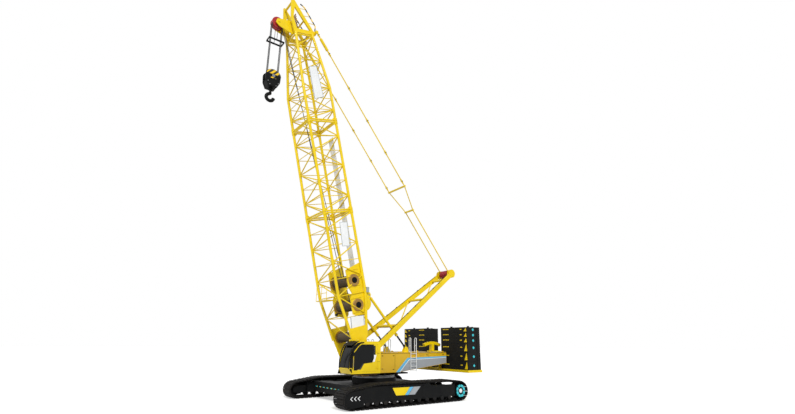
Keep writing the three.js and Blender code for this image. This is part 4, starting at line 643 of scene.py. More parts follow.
HEAD_START = 23.34
rail_path = on_boom([[HEAD_START + 0.35, 0.0, 0.95], [HEAD_START + 0.75, 0.0, 1.05],
                     [HEAD_START + 2.1, 0.0, 0.42], [HEAD_START + 2.35, 0.0, 0.12]])
rails, posts = [], []
for y in (0.72, -0.72):
    rails.append(sweep(rail_path + [0, y, 0], 0.042))
    for share in (0.1, 0.5, 0.9):
        spot = rail_path[1] * (1 - share) + rail_path[2] * share + [0, y, 0]
        base = spot - (on_boom([0, 0, 0.55]) - on_boom([0, 0, 0]))
        posts.append(tubes(base, spot, 0.02, 8))
build("head_rails", [(hazard, rails), (yellow, posts)], "boom")
board = boom_plate([[HEAD_START + 0.03, 0.62], [HEAD_START + 0.36, 0.66], [HEAD_START + 0.36, 0.7],
                    [HEAD_START + 0.03, 0.66]], -0.6, 0.6)
build("head_hazard_board", [(white_black, [board])], "boom")
# Brown slats across the inside of the head are painted shade: they stand for the shaded inner sides of the yellow
# head beams.
painted_shade_slats = [boom_plate(rectangle((start, -0.35), (start + 0.08, -0.3)), -0.6, 0.6)
               for start in HEAD_START + 0.5 + 0.16 * np.arange(7)]
build("head_inner_slats", [(winch_brown, painted_shade_slats)], "boom")

# ---------------------------------------------------------------- sheaves and winches
# Rope sheaves are turned with one round groove for each rope. Each winch drum has two thick
# flanges and a rope laid side by side round its core, which shows as a row of even ridges.


def sheave_profile(radius, bore, half, count, depth):
    """A ringed profile: rims between count round-bottomed grooves, then back along the bore."""
    pitch = 2 * half / count
    points = []
    for index in range(count):
        start = -half + index * pitch
        points += [(start, radius)]
        for turn in np.linspace(0, math.pi, 9):
            along = start + pitch * (0.5 - 0.34 * math.cos(turn))
            points.append((along, radius - depth * math.sin(turn) ** 0.7))
    return points + [(half, radius), (half, bore), (-half, bore)]


def drum_profile(core, flange, half, bore, rope):
    """A ringed profile: flange, rope ridges along the core, flange, then back along the bore."""
    points = [(-half, flange), (-half + 0.05, flange), (-half + 0.05, core)]
    count = int((2 * half - 0.1) / rope)
    for start in np.linspace(-half + 0.05, half - 0.05, count, endpoint=False):
        points += [(start + rope * share, core + rope * lift)
                   for share, lift in ((0.1, 0), (0.5, 0.42), (0.9, 0))]
    return points + [(half - 0.05, core), (half - 0.05, flange), (half, flange), (half, bore), (-half, bore)]


def spokes(centre, inner, outer, low, high, count, size):
    """Raised ribs on a wheel's face, evenly spaced round its shaft."""
    turn = np.arange(count) * 2 * math.pi / count
    ray = np.stack([np.cos(turn), np.zeros(count), np.sin(turn)], 1)
    middle = centre + np.array([0, (low + high) / 2, 0])
    return tubes(middle + ray * inner, middle + ray * outer, size, 6)


SHAFT_BORE = 0.0815
for name, radius, bore, half, count, depth, paint, slot in (
        ("head_sheaves", 0.428, SHAFT_BORE, 0.208, 2, 0.06, red_paint, "sheave_red"),
        ("mast_sheaves", 0.298, 0.0715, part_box("mast_sheaves")[1].y - 0.002, 8, 0.045, red_paint, "sheave_red"),
        ("block_sheaves", 0.418, SHAFT_BORE, 0.208, 2, 0.06, black_paint, "black_paint")):
    profile = sheave_profile(radius, bore, half, count, depth)
    wheels = [turned(profile, pivots[f"{name}_turn"], sides=64, ringed=True)]
    build(f"{name}_looks", [(paint, wheels)], name, replaces=(name,), bevel=0.004)

for name, core, flange in (("hoist_drum_upper", 0.35, 0.495), ("hoist_drum_lower", 0.35, 0.495),
                           ("luffing_drum", 0.295, 0.405)):
    centre = pivots[f"{name}_turn"]
    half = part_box(name)[1].y - 0.001
    rope = drum_profile(core, core + 0.005, half - 0.052, core - 0.05, 0.042)
    ring = [(-half, flange), (-half + 0.05, flange), (-half + 0.05, core - 0.03), (half - 0.05, core - 0.03),
            (half - 0.05, flange), (half, flange), (half, SHAFT_BORE), (-half, SHAFT_BORE)]
    bolts = [bolt_circle(centre + [0, side * (half - 0.052), 0], 0.8 * flange, 12, -side * 0.014, 0.02)
             for side in (-1, 1)]
    build(f"{name}_looks", [(winch_brown, [turned(ring, centre, sides=64, ringed=True)]),
                            (greased_rope, [turned(rope, centre, sides=48, ringed=True)]), (worn_steel, bolts)],
          name, replaces=(name,))

# ---------------------------------------------------------------- mast, pendants and backstops
# The mast is two box legs joined by cross tubes, with braces between them. The pendants are
# bars linked by sleeves with cross pins. The backstops are sleeved tubes with collars.
cad_copy("mast", "mast", yellow, bevel=0.012)
mast_foot = pivots["mast_luff"] + [0, 1.59, 0]
mast_tip = pivots["pendant_pivot"] + [0, 0.7, 0]
mast_run = mast_tip - mast_foot
mast_up = np.cross(mast_run, [0, 1, 0])
mast_up *= np.sign(mast_up[2]) / np.linalg.norm(mast_up)
mast_dark = []
for share in (0.16, 0.4, 0.5, 0.74, 0.82):
    middle = mast_foot + mast_run * share
    mast_dark.append(tubes(middle + mast_up * 0.17, middle + mast_up * 0.21, 0.05, 12))
pipe = mast_foot + mast_up * 0.18 + [0, -0.05, 0]
mast_dark.append(tubes(pipe + mast_run * 0.04, pipe + mast_run * 0.95, 0.018, 8))
build("mast_fittings", [(black_paint, both(mast_dark))], "mast")
mast_lattice = [tubes(mast_foot + mast_run * near, (mast_foot + mast_run * far) * [1, -1, 1], 0.045)
                for near, far in ((0.28, 0.62), (0.62, 0.9))]
build("mast_braces", [(yellow, mast_lattice)], "mast")
cad_copy("pendants", "pendants", yellow, bevel=0.004)

PENDANT_HEAD = on_boom([23.471, 1.0, 0.92])
pendant_line = pivots["pendant_pivot"] + [0, 1.0, 0] - PENDANT_HEAD
sleeves, link_pins = [], []
for share in (0.012, 0.085, 0.22, 0.35, 0.48, 0.6):
    middle = PENDANT_HEAD + pendant_line * share
    step = pendant_line / np.linalg.norm(pendant_line) * 0.17
    sleeves.append(tubes(middle - step, middle + step, 0.062))
    link_pins.append(tubes(middle - [0, 0.1, 0], middle + [0, 0.1, 0], 0.032, 12))
build("pendant_links", [(yellow, both(sleeves)), (black_paint, both(link_pins))], "pendants")

for hand in ("left", "right"):
    for name, slot, paint, bevel in (("backstop_tube", "crane_yellow", yellow, 0.006),
                                     ("backstop_rod", "black_paint", black_paint, 0.004)):
        cad_copy(f"{name}_{hand}", f"{name}_{hand}", paint, bevel=bevel, angle=40.0)
    top = pivots[f"backstop_{hand}_pivot"]
    foot = np.array([-1.8, top[1], 3.23])
    length = np.linalg.norm(foot - top)
    run = (foot - top) / length
    collars = [tubes(top + run * at, top + run * (at + wide), size, 24)
               for at, wide, size in ((0.27, 0.09, 0.102), (length * 0.4, 0.05, 0.1))]
    collars.append(turned([(0, 0.061), (0, 0.104), (0.1, 0.104), (0.1, 0.061)],
                          top + run * (length * 0.76 - 0.1), run, 24, True))
    build(f"backstop_collars_{hand}", [(yellow, collars)], f"backstop_tube_{hand}")

# ---------------------------------------------------------------- hook block and ropes
# The block is black with a striped cap and label plates. Each sheave groove takes one rope,
# which comes down in front of the sheaves and goes back up behind them.
ROPE = 0.03
LANES = (-0.105, 0.105)
HEAD_REACH, BLOCK_REACH = 0.385, 0.375
block_shaft = pivots["block_sheaves_turn"]
head_shaft = pivots["head_sheaves_turn"]
cad_copy("hook_block", "hook_block", black_paint, bevel=0.012)
cad_copy("hook", "hook", black_paint, bevel=0.01, angle=50.0)
cad_copy("hoist_limit_weight", "hoist_limit_weight", black_paint, bevel=0.006)
cap = arc(block_shaft[[0, 2]] + [0, 0.07], (0.49, 0.4), 0.12, math.pi - 0.12, 14)
label = block_shaft[[0, 2]] + rectangle((-0.2, -0.1), (0.24, -0.2))
marks = [prism(outline, side * 0.306, side * far)
         for outline, far in ((cap, 0.313), (label, 0.316)) for side in (1, -1)]
build("block_stripes", [(block_hazard, marks)], "hook_block")
block_pins = []
for x, z in ((-0.36, -0.52), (0.36, -0.52), (-0.22, -0.74), (0.22, -0.74)):
    for side in (1, -1):
        spot = block_shaft + [x, side * 0.368, z]
        block_pins.append(tubes(spot, spot + [0, side * 0.02, 0], 0.035, 8))
block_pins.append(turned([(-0.35, 0.11), (0.35, 0.11)], block_shaft, sides=24))
build("block_bolts", [(worn_steel, block_pins)], "hook_block")

falls = [tubes(block_shaft + [face * BLOCK_REACH, lane, 0], head_shaft + [face * HEAD_REACH, lane, 0], ROPE)
         for lane in LANES for face in (1, -1)]
fall_piece = build("hoist_falls", [(rope_steel, falls)], "hoist_limit_weight")
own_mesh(fall_piece)
over = []
for hand, lane in zip(("right", "left"), LANES):
    over.append(sweep(np.insert(arc(head_shaft[[0, 2]], HEAD_REACH, 0, math.pi, 17), 1, lane, axis=1), ROPE))
    under = np.insert(arc(block_shaft[[0, 2]], BLOCK_REACH, 0, -math.pi, 17), 1, lane, axis=1)
    build(f"block_rope_{hand}", [(rope_steel, [sweep(under, ROPE)])], "hook_block")
for lane, along, out in ((LANES[1], UPPER_DRUM, DRUM_OUT - 0.37), (LANES[0], LOWER_DRUM, DRUM_OUT + 0.37)):
    over.append(tubes(on_boom([along, lane * 3, out]), head_shaft + [-0.3, lane, 0.24], ROPE * 0.8, 8))
build("head_ropes", [(rope_steel, over)], "boom")

# ---------------------------------------------------------------- boom plates and platform
# Blank white boards on the boom's left face and a white strip along its back, a small grating
# platform with rails in front of the boom, a lamp, and a control box on the rear chord.
boards, edges = [], []
for outline in (((20.4, -0.35), (20.5, 0.2), (18.25, 0.34), (18.05, -0.32)),
                ((9.28, -0.05), (9.26, 0.48), (7.68, 0.36), (7.72, -0.14)),
                ((3.15, -0.42), (3.05, 0.5), (1.98, 0.36), (2.05, -0.52))):
    out_y = np.interp(np.mean([point[0] for point in outline]), *HALF_WIDTHS) + 0.075
    middle = np.mean(outline, 0)
    grown = middle + (np.array(outline) - middle) * [1.03, 1.12]
    edges.append(boom_plate(grown, out_y - 0.012, out_y))
    boards.append(boom_plate(outline, out_y - 0.002, out_y + 0.006))
boards.append(boom_plate(rectangle((6.2, 1.085), (15.6, 1.095)), -0.2, 0.45))
build("boom_boards", [(white_panel, boards), (grey_paint, edges)], "boom")

deck = on_boom([4.38, 0, -1.14])
stand = deck + [0.5, 0, 0]
slats = [tubes(deck + [0.42 * share - 0.1, -0.7, 0], deck + [0.42 * share - 0.1, 0.7, 0], 0.02, 6)
         for share in np.linspace(0, 1.4, 8)]
handrails = [tubes(stand + [0, -0.7, lift], stand + [0, 0.7, lift], 0.018, 8) for lift in (0.45, 0.85)]
handrails += [tubes(stand + [0, y, 0], stand + [0, y, 0.85], 0.018, 8) for y in (-0.7, 0.0, 0.7)]
handrails += [tubes(deck + [-0.1, y, 0], stand + [0, y, 0], 0.03, 8) for y in (-0.7, 0.7)]
lamp = on_boom([3.45, 1.12, -0.93])
fittings = [tubes(lamp, lamp + [0.34, 0, 0.02], 0.022, 8),
            tubes(lamp + [0.3, 0, -0.05], lamp + [0.42, 0, -0.09], 0.075, 16, 0.095)]
spot = on_boom([4.62, 1.25, 1.19])
control = boxes(spot - [0.09, 0.13, 0.17], spot + [0.12, 0.13, 0.17])
build("boom_platform", [(yellow, slats + handrails), (black_paint, fittings), (grey_paint, [control])], "boom")

# ---------------------------------------------------------------- undercarriage
# Each side frame carries a smooth outer cover with a nose plate round the idler, rollers below
# and a chevron mark in front. The drive end shows a ring of bright segments round its hub.
COVER_FACE = 4.02
TEETH = 14
teal = surface("drive_teal", "35c6d0", "2aa6b2", patch=2.0, roughness=(0.3, 0.45), grain=30.0, depth=0.04)
sky_blue = surface("sky_blue", "5fb4dd", "4ea3cf", patch=1.5, mix=0.3, roughness=(0.35, 0.45), grain=20.0,
                   depth=0.02)
decal_grey = surface("decal_grey", "9b9fa3", "8b9094", patch=1.5, mix=0.4, roughness=(0.4, 0.5), grain=20.0,
                     depth=0.02)
for node in ("crawler_frame_left", "crawler_frame_right", "carbody"):
    cad_copy(node, "undercarriage", black_paint, bevel=0.014)
nose = arc(pivots["idler_left_turn"][[0, 2]], 0.43, -math.pi / 2, math.pi / 2, 16)
covers = [prism([*nose, [3.36, 1.06], [3.36, 0.2]], 3.93, COVER_FACE + 0.015),
          prism([[3.34, 0.34], [3.34, 1.12], [2.45, 1.17], [-1.45, 1.17], [-1.6, 1.06], [-3.55, 1.04],
                 [-3.55, 0.34]], 3.93, COVER_FACE)]
covers += [boxes([x - 0.015, 4.0, 0.34], [x + 0.015, 4.03, 1.12]) for x in (3.34, 1.55, -0.85, -2.3, -3.55)]
covers += [tubes([x, COVER_FACE, z], [x, COVER_FACE + 0.03, z], 0.028, 6)
           for x, heights in ((3.45, (0.95, 0.3)), (4.3, (0.9, 0.2)), (1.65, (0.42, 1.1)), (-0.95, (0.42, 1.1)),
                              (-2.4, (0.42, 1.0)), (-3.45, (0.42, 0.98))) for z in heights]
rollers = [turned([(0, 0.06), (0.03, 0.135), (0.15, 0.135), (0.17, 0.06)], [x, 3.86, 0.3], sides=24)
           for x in np.linspace(-3.1, 3.1, 11)]
rollers += [turned([(0, 0.05), (0.02, 0.07), (0.3, 0.07), (0.32, 0.05)], [x, 3.3, 1.09], sides=20)
            for x in (-2.2, -0.6, 1.0)]
chevron = np.array([[-0.13, 0.73], [0.0, 0.62], [-0.13, 0.51], [-0.18, 0.51], [-0.06, 0.62], [-0.18, 0.73]])
chevrons = [prism(chevron + [x, 0], 4.034, 4.039) for x in (4.26, 4.02, 3.78)]
cover_groups = [(black_paint, covers), (track_steel, rollers), (white_panel, chevrons)]
for paint, outline in ((yellow, [[1.4, 1.05], [0.12, 1.045], [0.5, 0.62], [1.14, 0.63]]),
                       (sky_blue, [[0.1, 1.045], [-0.14, 1.045], [0.24, 0.62], [0.48, 0.62]]),
                       (decal_grey, [[-0.16, 1.045], [-0.7, 1.045], [-0.26, 0.61], [0.22, 0.62]])):
    cover_groups.append((paint, [prism(outline, COVER_FACE, COVER_FACE + 0.007)]))
for hand in ("left", "right"):
    build(f"side_cover_{hand}", on_side(hand, cover_groups), "undercarriage")

for hand, side in (("left", 1), ("right", -1)):
    hub = pivots[f"idler_{hand}_turn"]
    wheel = [turned([(-0.214, 0.3), (-0.214, 0.36), (-0.14, 0.372), (0.14, 0.372), (0.214, 0.36), (0.214, 0.3),
                     (0.1, 0.27), (0.1, 0.12), (0.2, 0.11), (0.2, 0.0765), (-0.2, 0.0765), (-0.2, 0.11),
                     (-0.1, 0.12), (-0.1, 0.27)], hub, sides=64, ringed=True),
             spokes(hub, 0.11, 0.28, -0.1, 0.1, 8, 0.075)]
    build(f"idler_{hand}_looks", [(track_steel, wheel)], f"idler_{hand}",
          replaces=(f"idler_{hand}",))
    hub = pivots[f"sprocket_{hand}_turn"]
    turn = np.linspace(0, 2 * math.pi, TEETH * 8, endpoint=False)
    rim = 0.425 + 0.024 * np.clip(1.6 * np.cos(TEETH * turn), -1, 1)
    teeth = hub[[0, 2]] + np.stack([rim * np.cos(turn), rim * np.sin(turn)], 1)
    toothed = prism(teeth, hub[1] - 0.17, hub[1] + 0.17)
    end = hub + [0, side * 0.5, 0]
    segments = []
    for start in np.arange(8) * math.pi / 4:
        near, far = start + 0.03 * math.pi, start + 0.22 * math.pi
        outline = [*arc(hub[[0, 2]], 0.375, near, far, 8), *arc(hub[[0, 2]], 0.235, far, near, 8)]
        segments.append(prism(outline, end[1], end[1] + side * 0.05))
    drive = [toothed, tubes(hub + [0, side * 0.17, 0], end, 0.4, 48, 0.385)]
    hub_cap = turned([(0, 0.13), (0.04, 0.13), (0.06, 0.1)], end, (0, side, 0))
    build(f"sprocket_{hand}_looks", [(black_paint, drive), (teal, segments), (white_panel, [hub_cap]),
                                     (worn_steel, [bolt_circle(end, 0.3, 8, side * 0.03, 0.025)])],
          f"sprocket_{hand}", replaces=(f"sprocket_{hand}",), bevel=0.004)

body_marks = [boxes([2.944, y - 0.1, 0.735], [2.956, y + 0.08, 0.775]) for y in np.linspace(-2.5, 2.5, 11)]
front_marks = [boxes([2.944, y - 0.16, 0.72], [2.956, y - 0.12, 0.79]) for y in np.linspace(-2.25, 2.25, 10)]
build("carbody_marks", [(teal, body_marks), (yellow, front_marks)], "undercarriage")
spots = np.insert(arc((0, 0), 1.33, 0, 2 * math.pi, 41)[:-1], 2, 1.39, axis=1)
angles = (np.arange(120)[:, None] + np.array([0.0, 0.3, 0.5, 0.8])).ravel() * 2 * math.pi / 120
reach = np.tile([1.33, 1.37, 1.37, 1.33], 120)
gear = prism(np.stack([reach * np.cos(angles), reach * np.sin(angles)], 1), 1.42, 1.545, axis=2)
races = [turned([(1.391, top), (edge, top), (edge, low), (1.391, low)], [0, 0, 0], (0, 0, 1), 96, True)
         for edge, top, low in ((1.425, 1.38, 1.2), (1.549, 1.21, 1.05))]
build("slew_ring_looks", [(worn_steel, [gear, *races, tubes(spots, spots + [0, 0, 0.03], 0.03, 6)])],
      "undercarriage", replaces=("slew_ring",), bevel=0.003)

# ---------------------------------------------------------------- revolving frame and housings
# The housings are flat-panelled steel with seams, doors, louvres and a dark deck edge. A light
# blue band and a grey field run back along each side; the round badge place is left bare.
HOUSE_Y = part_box("machinery_house_left")[1].y
DECK = 2.95
housing_yellow = surface("housing_yellow", "d8ae0c", "bd920e", patch=0.7, roughness=(0.36, 0.52), coat=0.1,
                         grain=22.0, depth=0.04)
cad_copy("revolving_frame", "upperworks", black_paint, bevel=0.012)
for node in ("machinery_house_left", "machinery_house_right"):
    cad_copy(node, "upperworks", housing_yellow, bevel=0.02)
skin = HOUSE_Y + 0.001
band = [prism([[-0.72, 1.72], [-1.66, 2.6], [-5.2, 2.68], [-5.2, 2.6], [-1.8, 2.5], [-1.0, 1.72]],
              skin, skin + 0.003)]
line = [prism([[-1.0, 1.72], [-1.8, 2.5], [-5.2, 2.6], [-5.2, 2.57], [-1.82, 2.46], [-1.06, 1.72]],
              skin, skin + 0.0035)]
field = [prism([[-1.06, 1.74], [-1.82, 2.46], [-5.2, 2.57], [-5.2, 2.21], [-1.3, 1.77]], skin, skin + 0.003),
         boxes([[-5.2, 0.8, DECK], [-3.4, 0.8, DECK]],
               [[-3.6, 1.44, DECK + 0.012], [-2.5, 1.44, DECK + 0.012]])]
seams = [boxes([-5.23, HOUSE_Y - 0.04, DECK - 0.05], [0.56, HOUSE_Y + 0.012, DECK - 0.025]),
         boxes([0.53, HOUSE_Y - 0.02, 1.72], [0.545, HOUSE_Y + 0.004, DECK - 0.06])]
seams += [boxes([x - 0.007, HOUSE_Y - 0.02, 1.9], [x + 0.007, HOUSE_Y + 0.003, DECK - 0.1])
          for x in (-0.62, -3.55)]
seams += [boxes([x - 0.05, HOUSE_Y, z - 0.02], [x + 0.05, HOUSE_Y + 0.02, z + 0.02])
          for x, z in ((0.4, 2.75), (0.4, 1.95), (-0.5, 2.75), (-0.5, 1.9), (-3.4, 2.78), (-4.9, 2.8))]
louvres = [boxes([x, HOUSE_Y, z], [x + 0.22, HOUSE_Y + 0.018, z + 0.025])
           for x in (-2.62, -2.9, -3.18) for z in (2.72, 2.78, 2.84)]
louvres += [boxes([x - 0.07, HOUSE_Y - 0.12, DECK], [x + 0.07, HOUSE_Y - 0.02, DECK + 0.07])
            for x in (0.42, -1.0, -2.55, -3.7, -4.9)]
hoops = []
for x in (-0.02, -0.42):
    crown = np.insert(arc((x - 0.09, 3.7), 0.09, 0, math.pi, 11), 1, 1.02, axis=1)
    hoops.append(sweep([[x, 1.02, DECK], *crown, [x - 0.18, 1.02, DECK]], 0.018))
for name, paint, shapes in (("seams", black_paint, seams), ("band", sky_blue, band),
                            ("line", white_panel, line), ("field", decal_grey, field),
                            ("louvres", housing_yellow, louvres), ("hoops", grey_paint, hoops)):
    build(f"housing_{name}", [(paint, both(shapes))], "upperworks")

# ---------------------------------------------------------------- counterweights
# Each stack is six cast slabs with soft edges and dark seams. The front faces carry blank
# yellow label plates and wedges, the outer faces a column of bright lug caps.
SLABS = (0.59, 0.59, 0.59, 0.366, 0.366, 0.366)
STACK_FOOT = 1.8006
rear, inner = (np.array(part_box("counterweight_stack_left")[0]) - AXIS)[:2]
front, outer = (np.array(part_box("counterweight_stack_left")[1]) - AXIS)[:2]
cast_black = surface("counterweight_black", "151514", "22211f", patch=1.4, mix=0.6, roughness=(0.5, 0.68),
                     grain=55.0, depth=0.25, shine=0.1)
cad_copy("counterweight_tray", "upperworks", yellow, bevel=0.012)
slabs, labels, caps, z = [], [], [], STACK_FOOT
for height in SLABS:
    top = z + height - 0.014
    middle = (z + top) / 2
    slabs += [boxes([rear, inner, z], [front, outer, top]),
              boxes([rear + 0.014, inner + 0.014, z - 0.02], [front - 0.014, outer - 0.014, z + 0.02]),
              boxes([rear + 0.2, outer - 0.01, z + 0.03], [rear + 0.34, outer + 0.03, top - 0.05])]
    labels += [boxes([front, y, middle + 0.015], [front + 0.008, y + 0.12, middle + 0.075])
               for y in (1.08, 1.24, 1.4, 1.56)]
    labels += [boxes([front, 2.84, middle], [front + 0.008, 3.02, middle + 0.06]),
               prism([[3.22, z + 0.06], [3.5, z + 0.06], [3.44, top - 0.03]], front, front + 0.01, axis=0)]
    caps.append(turned([(0, 0.085), (0.02, 0.085), (0.034, 0.06)], [(front + rear) / 2 + 0.06, outer, middle],
                       sides=24))
    z += height
for y in (inner + 0.5, outer - 0.5):
    slabs += [boxes([rear + 0.56, y - 0.06, z - 0.02], [rear + 0.68, y + 0.06, z + 0.08]),
              boxes([rear + 0.2, y - 0.1, z - 0.02], [rear + 0.26, y + 0.1, z + 0.03])]
stack_groups = [(cast_black, slabs), (yellow, labels), (teal, caps)]
for hand in ("left", "right"):
    build(f"stack_{hand}_looks", on_side(hand, stack_groups), "upperworks",
          replaces=(f"counterweight_stack_{hand}",), bevel=0.012)

# ---------------------------------------------------------------- cab
# The cab is a smooth yellow shell wrapped in dark glass from the nose round to the door. It has
# a visor, lamps, wiper, mirror and grab rail, and a black sill under a yellow bumper band.
CAB_SIDE = 2.76
CAB_NOSE = [(3.65, 2.1), (3.643, 2.5), (3.605, 2.8), (3.51, 3.13), (3.36, 3.39), (3.09, 3.585)]


def glass(name, tint, alpha, shine=0.5):
    """Dark glazing: a smooth tinted dielectric that lets some light through."""
    material = bpy.data.materials.new(name)
    material.use_nodes = True
    shader = material.node_tree.nodes["Principled BSDF"]
    for socket, value in (("Base Color", srgb(tint)), ("Roughness", 0.04), ("IOR", 1.5),
                          ("Transmission Weight", alpha), ("Specular IOR Level", shine)):
        shader.inputs[socket].default_value = value
    return material


tinted = glass("tinted_glass", "0c0e0f", alpha=0.1, shine=0.12)
clear = glass("window_glass", "4a5256", alpha=0.9)
cad_copy("cab_shell", "upperworks", yellow, bevel=0.022, angle=32.0)
cad_copy("cab_door", "cab_door", yellow, bevel=0.004)
cad_copy("windscreen", "upperworks", tinted, bevel=0.0, angle=50.0)
cad_copy("door_window", "cab_door", clear, bevel=0.0)
cad_copy("right_window", "upperworks", clear, bevel=0.0)
cad_copy("rear_window", "upperworks", clear, bevel=0.0)
cad_copy("cab_bracket", "upperworks", winch_brown, bevel=0.01)
film = [[3.315, 2.36], [3.32, 2.98], [2.99, 3.345], [2.8, 3.458], [1.93, 3.458], [1.9, 3.1], [1.9, 2.66],
        [2.02, 2.42], [2.72, 2.36], [2.9, 2.12], [3.1, 2.0], [3.315, 2.0]]
build("door_film", [(tinted, [prism(film, CAB_SIDE - 0.0035, CAB_SIDE + 0.006)])], "cab_door",
      bevel=0.002)
pillar_side = [[3.375, 2.01], [3.43, 2.13], [3.62, 2.14], [3.62, 2.5], [3.58, 2.8], [3.485, 3.12],
               [3.335, 3.37], [3.1, 3.545], [2.86, 3.6], [2.62, 3.6], [2.62, 3.53], [2.86, 3.5],
               [3.04, 3.36], [3.375, 2.99]]
wrap = [prism(pillar_side, CAB_SIDE, CAB_SIDE + 0.006), prism(pillar_side, 1.574, 1.58)]
for low, high in ((1.574, 1.675), (2.665, 2.766)):
    outer = np.array(CAB_NOSE)
    wrap.append(prism(np.concatenate([outer + [0.006, 0], (outer - [0.02, 0])[::-1]]), low, high))
visor = [[2.9, 3.63], [3.06, 3.6], [3.3, 3.47], [3.44, 3.4], [3.45, 3.42], [3.32, 3.5], [3.08, 3.635],
         [2.92, 3.665]]
wrap.append(prism(visor, 1.66, 2.68))
sill = boxes([[1.42, 2.6, 1.735], [1.42, 1.6, 1.76]], [[3.46, 2.755, 1.8], [3.46, 1.64, 1.8]])
wiper = [tubes([3.655, 2.2, 2.16], [3.56, 2.45, 2.98], 0.012, 8),
         tubes([3.66, 2.1, 2.42], [3.53, 2.5, 3.07], 0.009, 8)]
mirror_arm = sweep([[3.3, 2.77, 3.3], [3.42, 2.86, 3.28], [3.46, 2.9, 3.15], [3.46, 2.9, 3.05]], 0.012, 8)
mirror_head = boxes([3.44, 2.82, 2.8], [3.475, 2.98, 3.08])
lamps = []
for y in (1.75, 2.6):
    lamps.append(tubes([2.96, y, 3.7], [3.06, y, 3.69], 0.055, 16, 0.062))
    lamps.append(boxes([2.95, y - 0.015, 3.63], [2.985, y + 0.015, 3.68]))
rail_bar = sweep([[3.36, 2.772, 2.2], [3.37, 2.82, 2.22], [3.4, 2.82, 2.62], [3.39, 2.772, 2.64]], 0.013, 8)
build("cab_black_trim", [(black_paint, wrap + [sill, mirror_arm, mirror_head] + wiper)], "upperworks",
      bevel=0.004)
build("cab_lamps", [(yellow, lamps), (worn_steel, [rail_bar])], "upperworks")
flash = prism([[1.9, 2.86], [1.72, 2.86], [1.84, 2.46], [2.02, 2.46]], CAB_SIDE, CAB_SIDE + 0.004)
bumper_gap = prism([[3.42, 1.83], [3.6, 2.02], [3.6, 2.1], [3.45, 2.1]], CAB_SIDE, CAB_SIDE + 0.005)
build("cab_flash", [(white_panel, [flash]), (black_paint, [bumper_gap])], "upperworks")
seams = [boxes([1.45, CAB_SIDE - 0.004, z - 0.006], [1.65, CAB_SIDE + 0.003, z + 0.006]) for z in (2.46, 2.93)]
seams.append(boxes([1.46, 1.63, 3.638], [2.8, 1.645, 3.645]))
build("cab_seams", [(black_paint, seams)], "upperworks")

# ---------------------------------------------------------------- operator's seat and controls
# The seat is a sprung base with a crowned cushion, a winged back with side bolsters and a head
# rest, all in dark cloth. The stand carries two screens and levers, and a foot plate lies ahead.
SEAT_Y = 2.17
CAB_FLOOR = 1.861
cloth = surface("seat_cloth", "26262a", "34343a", patch=8.0, roughness=(0.75, 0.9), grain=400.0, depth=0.3)
hard_plastic = surface("seat_plastic", "1c1c1e", "29292b", patch=3.0, roughness=(0.45, 0.6), grain=150.0,
                       depth=0.15)


def cushion(centre, size, crown, lean=0.0, power=5.0, count=22):
    """A stuffed block: a cube's points drawn in to |x|^p + |y|^p + |z|^p = 1, its top swollen by crown."""
    line = np.linspace(-1, 1, count)
    u, v = np.meshgrid(line, line, indexing="ij")
    flat = np.ones_like(u)
    sides, quads = [], []
    k = np.arange(count - 1)
    corner = (k[:, None] * count + k[None, :])[..., None]
    cell = (corner + [0, count, count + 1, 1]).reshape(-1, 4)
    for axis in range(3):
        for sign in (1, -1):
            grid = np.stack([u, v, flat * sign], -1)
            grid = np.roll(grid, axis + 1, -1).reshape(-1, 3)
            quads.append((cell if sign > 0 else cell[:, ::-1]) + len(sides) * count * count)
            sides.append(grid)
    points = np.concatenate(sides)
    points = points / (np.abs(points) ** power).sum(1)[:, None] ** (1 / power)
    swell = (1 - np.clip(points[:, 0], -1, 1) ** 2) * (1 - np.clip(points[:, 1], -1, 1) ** 2)
    points = points * np.array(size) / 2
    points[:, 2] += crown * swell * np.sign(points[:, 2]).clip(0, 1)
    tilt = np.array([[math.cos(lean), 0, math.sin(lean)], [0, 1, 0], [-math.sin(lean), 0, math.cos(lean)]])
    points = points @ tilt.T + centre
    merged, keep = np.unique(points.round(6), axis=0, return_inverse=True)
    return merged, [keep.reshape(-1)[np.concatenate(quads)]]


base = [boxes([2.1, 2.01, CAB_FLOOR], [2.4, 2.33, CAB_FLOOR + 0.05]),
        boxes([2.02, 1.98, CAB_FLOOR + 0.24], [2.46, 2.36, CAB_FLOOR + 0.32])]
for ridge in range(5):
    inset, low = 0.01 * (ridge % 2), CAB_FLOOR + 0.05 + ridge * 0.038
    base.append(boxes([2.11 + inset, 2.03, low], [2.39 - inset, 2.31, low + 0.038]))
for y in (SEAT_Y + 0.34, SEAT_Y - 0.34):
    base += [boxes([2.02, y - 0.05, CAB_FLOOR + 0.4], [2.48, y + 0.05, CAB_FLOOR + 0.56]),
             tubes([2.12, SEAT_Y, CAB_FLOOR + 0.36], [2.12, y, CAB_FLOOR + 0.42], 0.022),
             tubes([2.4, y, CAB_FLOOR + 0.56], [2.43, y, CAB_FLOOR + 0.68], 0.014),
             tubes([2.43, y, CAB_FLOOR + 0.66], [2.435, y, CAB_FLOOR + 0.73], 0.03, 14, 0.026)]
build("seat_frame", [(hard_plastic, base)], "upperworks", replaces=("operator_seat",),
      bevel=0.006)
pads = [cushion([2.24, SEAT_Y, CAB_FLOOR + 0.395], (0.54, 0.5, 0.14), 0.03),
        cushion([1.925, SEAT_Y, CAB_FLOOR + 0.74], (0.13, 0.48, 0.62), 0.0, lean=-0.2),
        cushion([1.86, SEAT_Y, CAB_FLOOR + 1.055], (0.1, 0.26, 0.14), 0.0, lean=-0.2)]
for side in (1, -1):
    pads += [cushion([2.24, SEAT_Y + side * 0.225, CAB_FLOOR + 0.43], (0.5, 0.09, 0.1), 0.0, power=3.0),
             cushion([1.96, SEAT_Y + side * 0.215, CAB_FLOOR + 0.72], (0.14, 0.09, 0.52), 0.0, lean=-0.2,
                     power=3.0)]
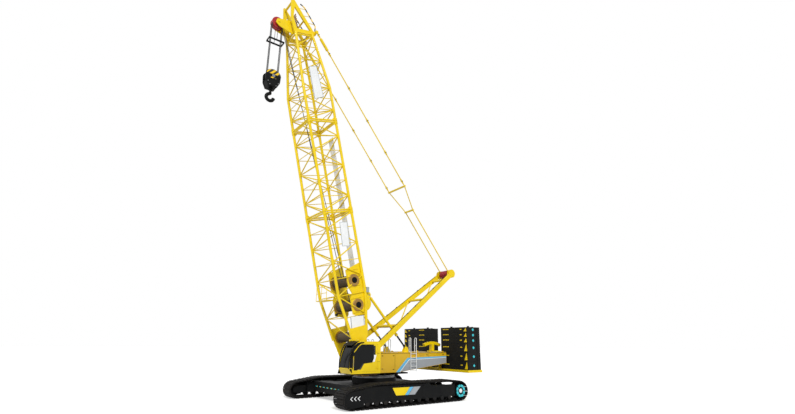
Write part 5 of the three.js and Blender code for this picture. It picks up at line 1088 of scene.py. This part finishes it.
for index, pad in enumerate(pads):
    piece = build(f"seat_pad_{index}", [(cloth, [pad])], "upperworks", angle=60.0)
cad_copy("control_stand", "upperworks", hard_plastic, bevel=0.012)
screens = [boxes([3.0, 1.98, 2.5], [3.02, 2.14, 2.62]), boxes([3.0, 2.2, 2.5], [3.02, 2.36, 2.62]),
           boxes([2.75, 1.9, CAB_FLOOR], [3.0, 2.44, CAB_FLOOR + 0.015])]
build("cab_screens", [(tinted, screens)], "upperworks", bevel=0.003)

# ---------------------------------------------------------------- deck fittings
# A white tubular ladder with grab hoops, the arched rope equaliser, the backstops' brackets
# and the engine in the well, with its ribs, pipes and exhaust.
LADDER_XS = (-2.39, -1.91)
white_rail = surface("rail_white", "e6e8e8", "cfd2d2", patch=4.0, mix=0.4, roughness=(0.35, 0.5), depth=0.03)
ladder = []
for x in LADDER_XS:
    crown = np.insert(arc((1.48, 3.815), (0.095, 0.08), 0, math.pi, 9), 0, x, axis=1)
    ladder += [sweep([[x, 1.575, 1.705], *crown, [x, 1.385, 2.952]], 0.024, 12),
               tubes([x, 1.575, 2.66], [x, 1.512, 2.66], 0.02), tubes([x, 1.385, 3.4], [x, 1.575, 3.4], 0.018)]
ladder += [tubes([LADDER_XS[0], 1.575, z], [LADDER_XS[1], 1.575, z], 0.019)
           for z in 1.785 + 0.27 * np.arange(5)]
build("ladder_looks", [(white_rail, ladder)], "upperworks", replaces=("access_ladder",))
for node in ("equaliser_beam", "backstop_bracket_left", "backstop_bracket_right"):
    cad_copy(node, "upperworks", yellow, bevel=0.008)
reel = [(-0.06, 0.05), (-0.06, 0.12), (-0.02, 0.09), (0.02, 0.09), (0.06, 0.12), (0.06, 0.05)]
reels = [turned(reel, [x, 0.32, z]) for x, z in ((-5.4, 3.5), (-5.15, 3.57), (-4.6, 3.57), (-4.35, 3.5))]
build("equaliser_rollers", [(track_steel, reels)], "upperworks")
cad_copy("engine_block", "upperworks", worn_steel, bevel=0.02)
engine = [boxes([x - 0.02, -1.34, 2.6], [x + 0.02, -0.92, 2.66]) for x in np.linspace(-0.9, 0.2, 8)]
engine += [sweep([[-0.8, -1.0, 2.62], [-0.8, -1.0, 2.8], [-0.6, -1.0, 2.86], [0.0, -1.0, 2.86]], 0.045, 14),
           tubes([-0.2, -1.2, 2.61], [-0.2, -1.2, 2.82], 0.1, 24)]
build("engine_fittings", [(worn_steel, engine)], "upperworks", bevel=0.004)
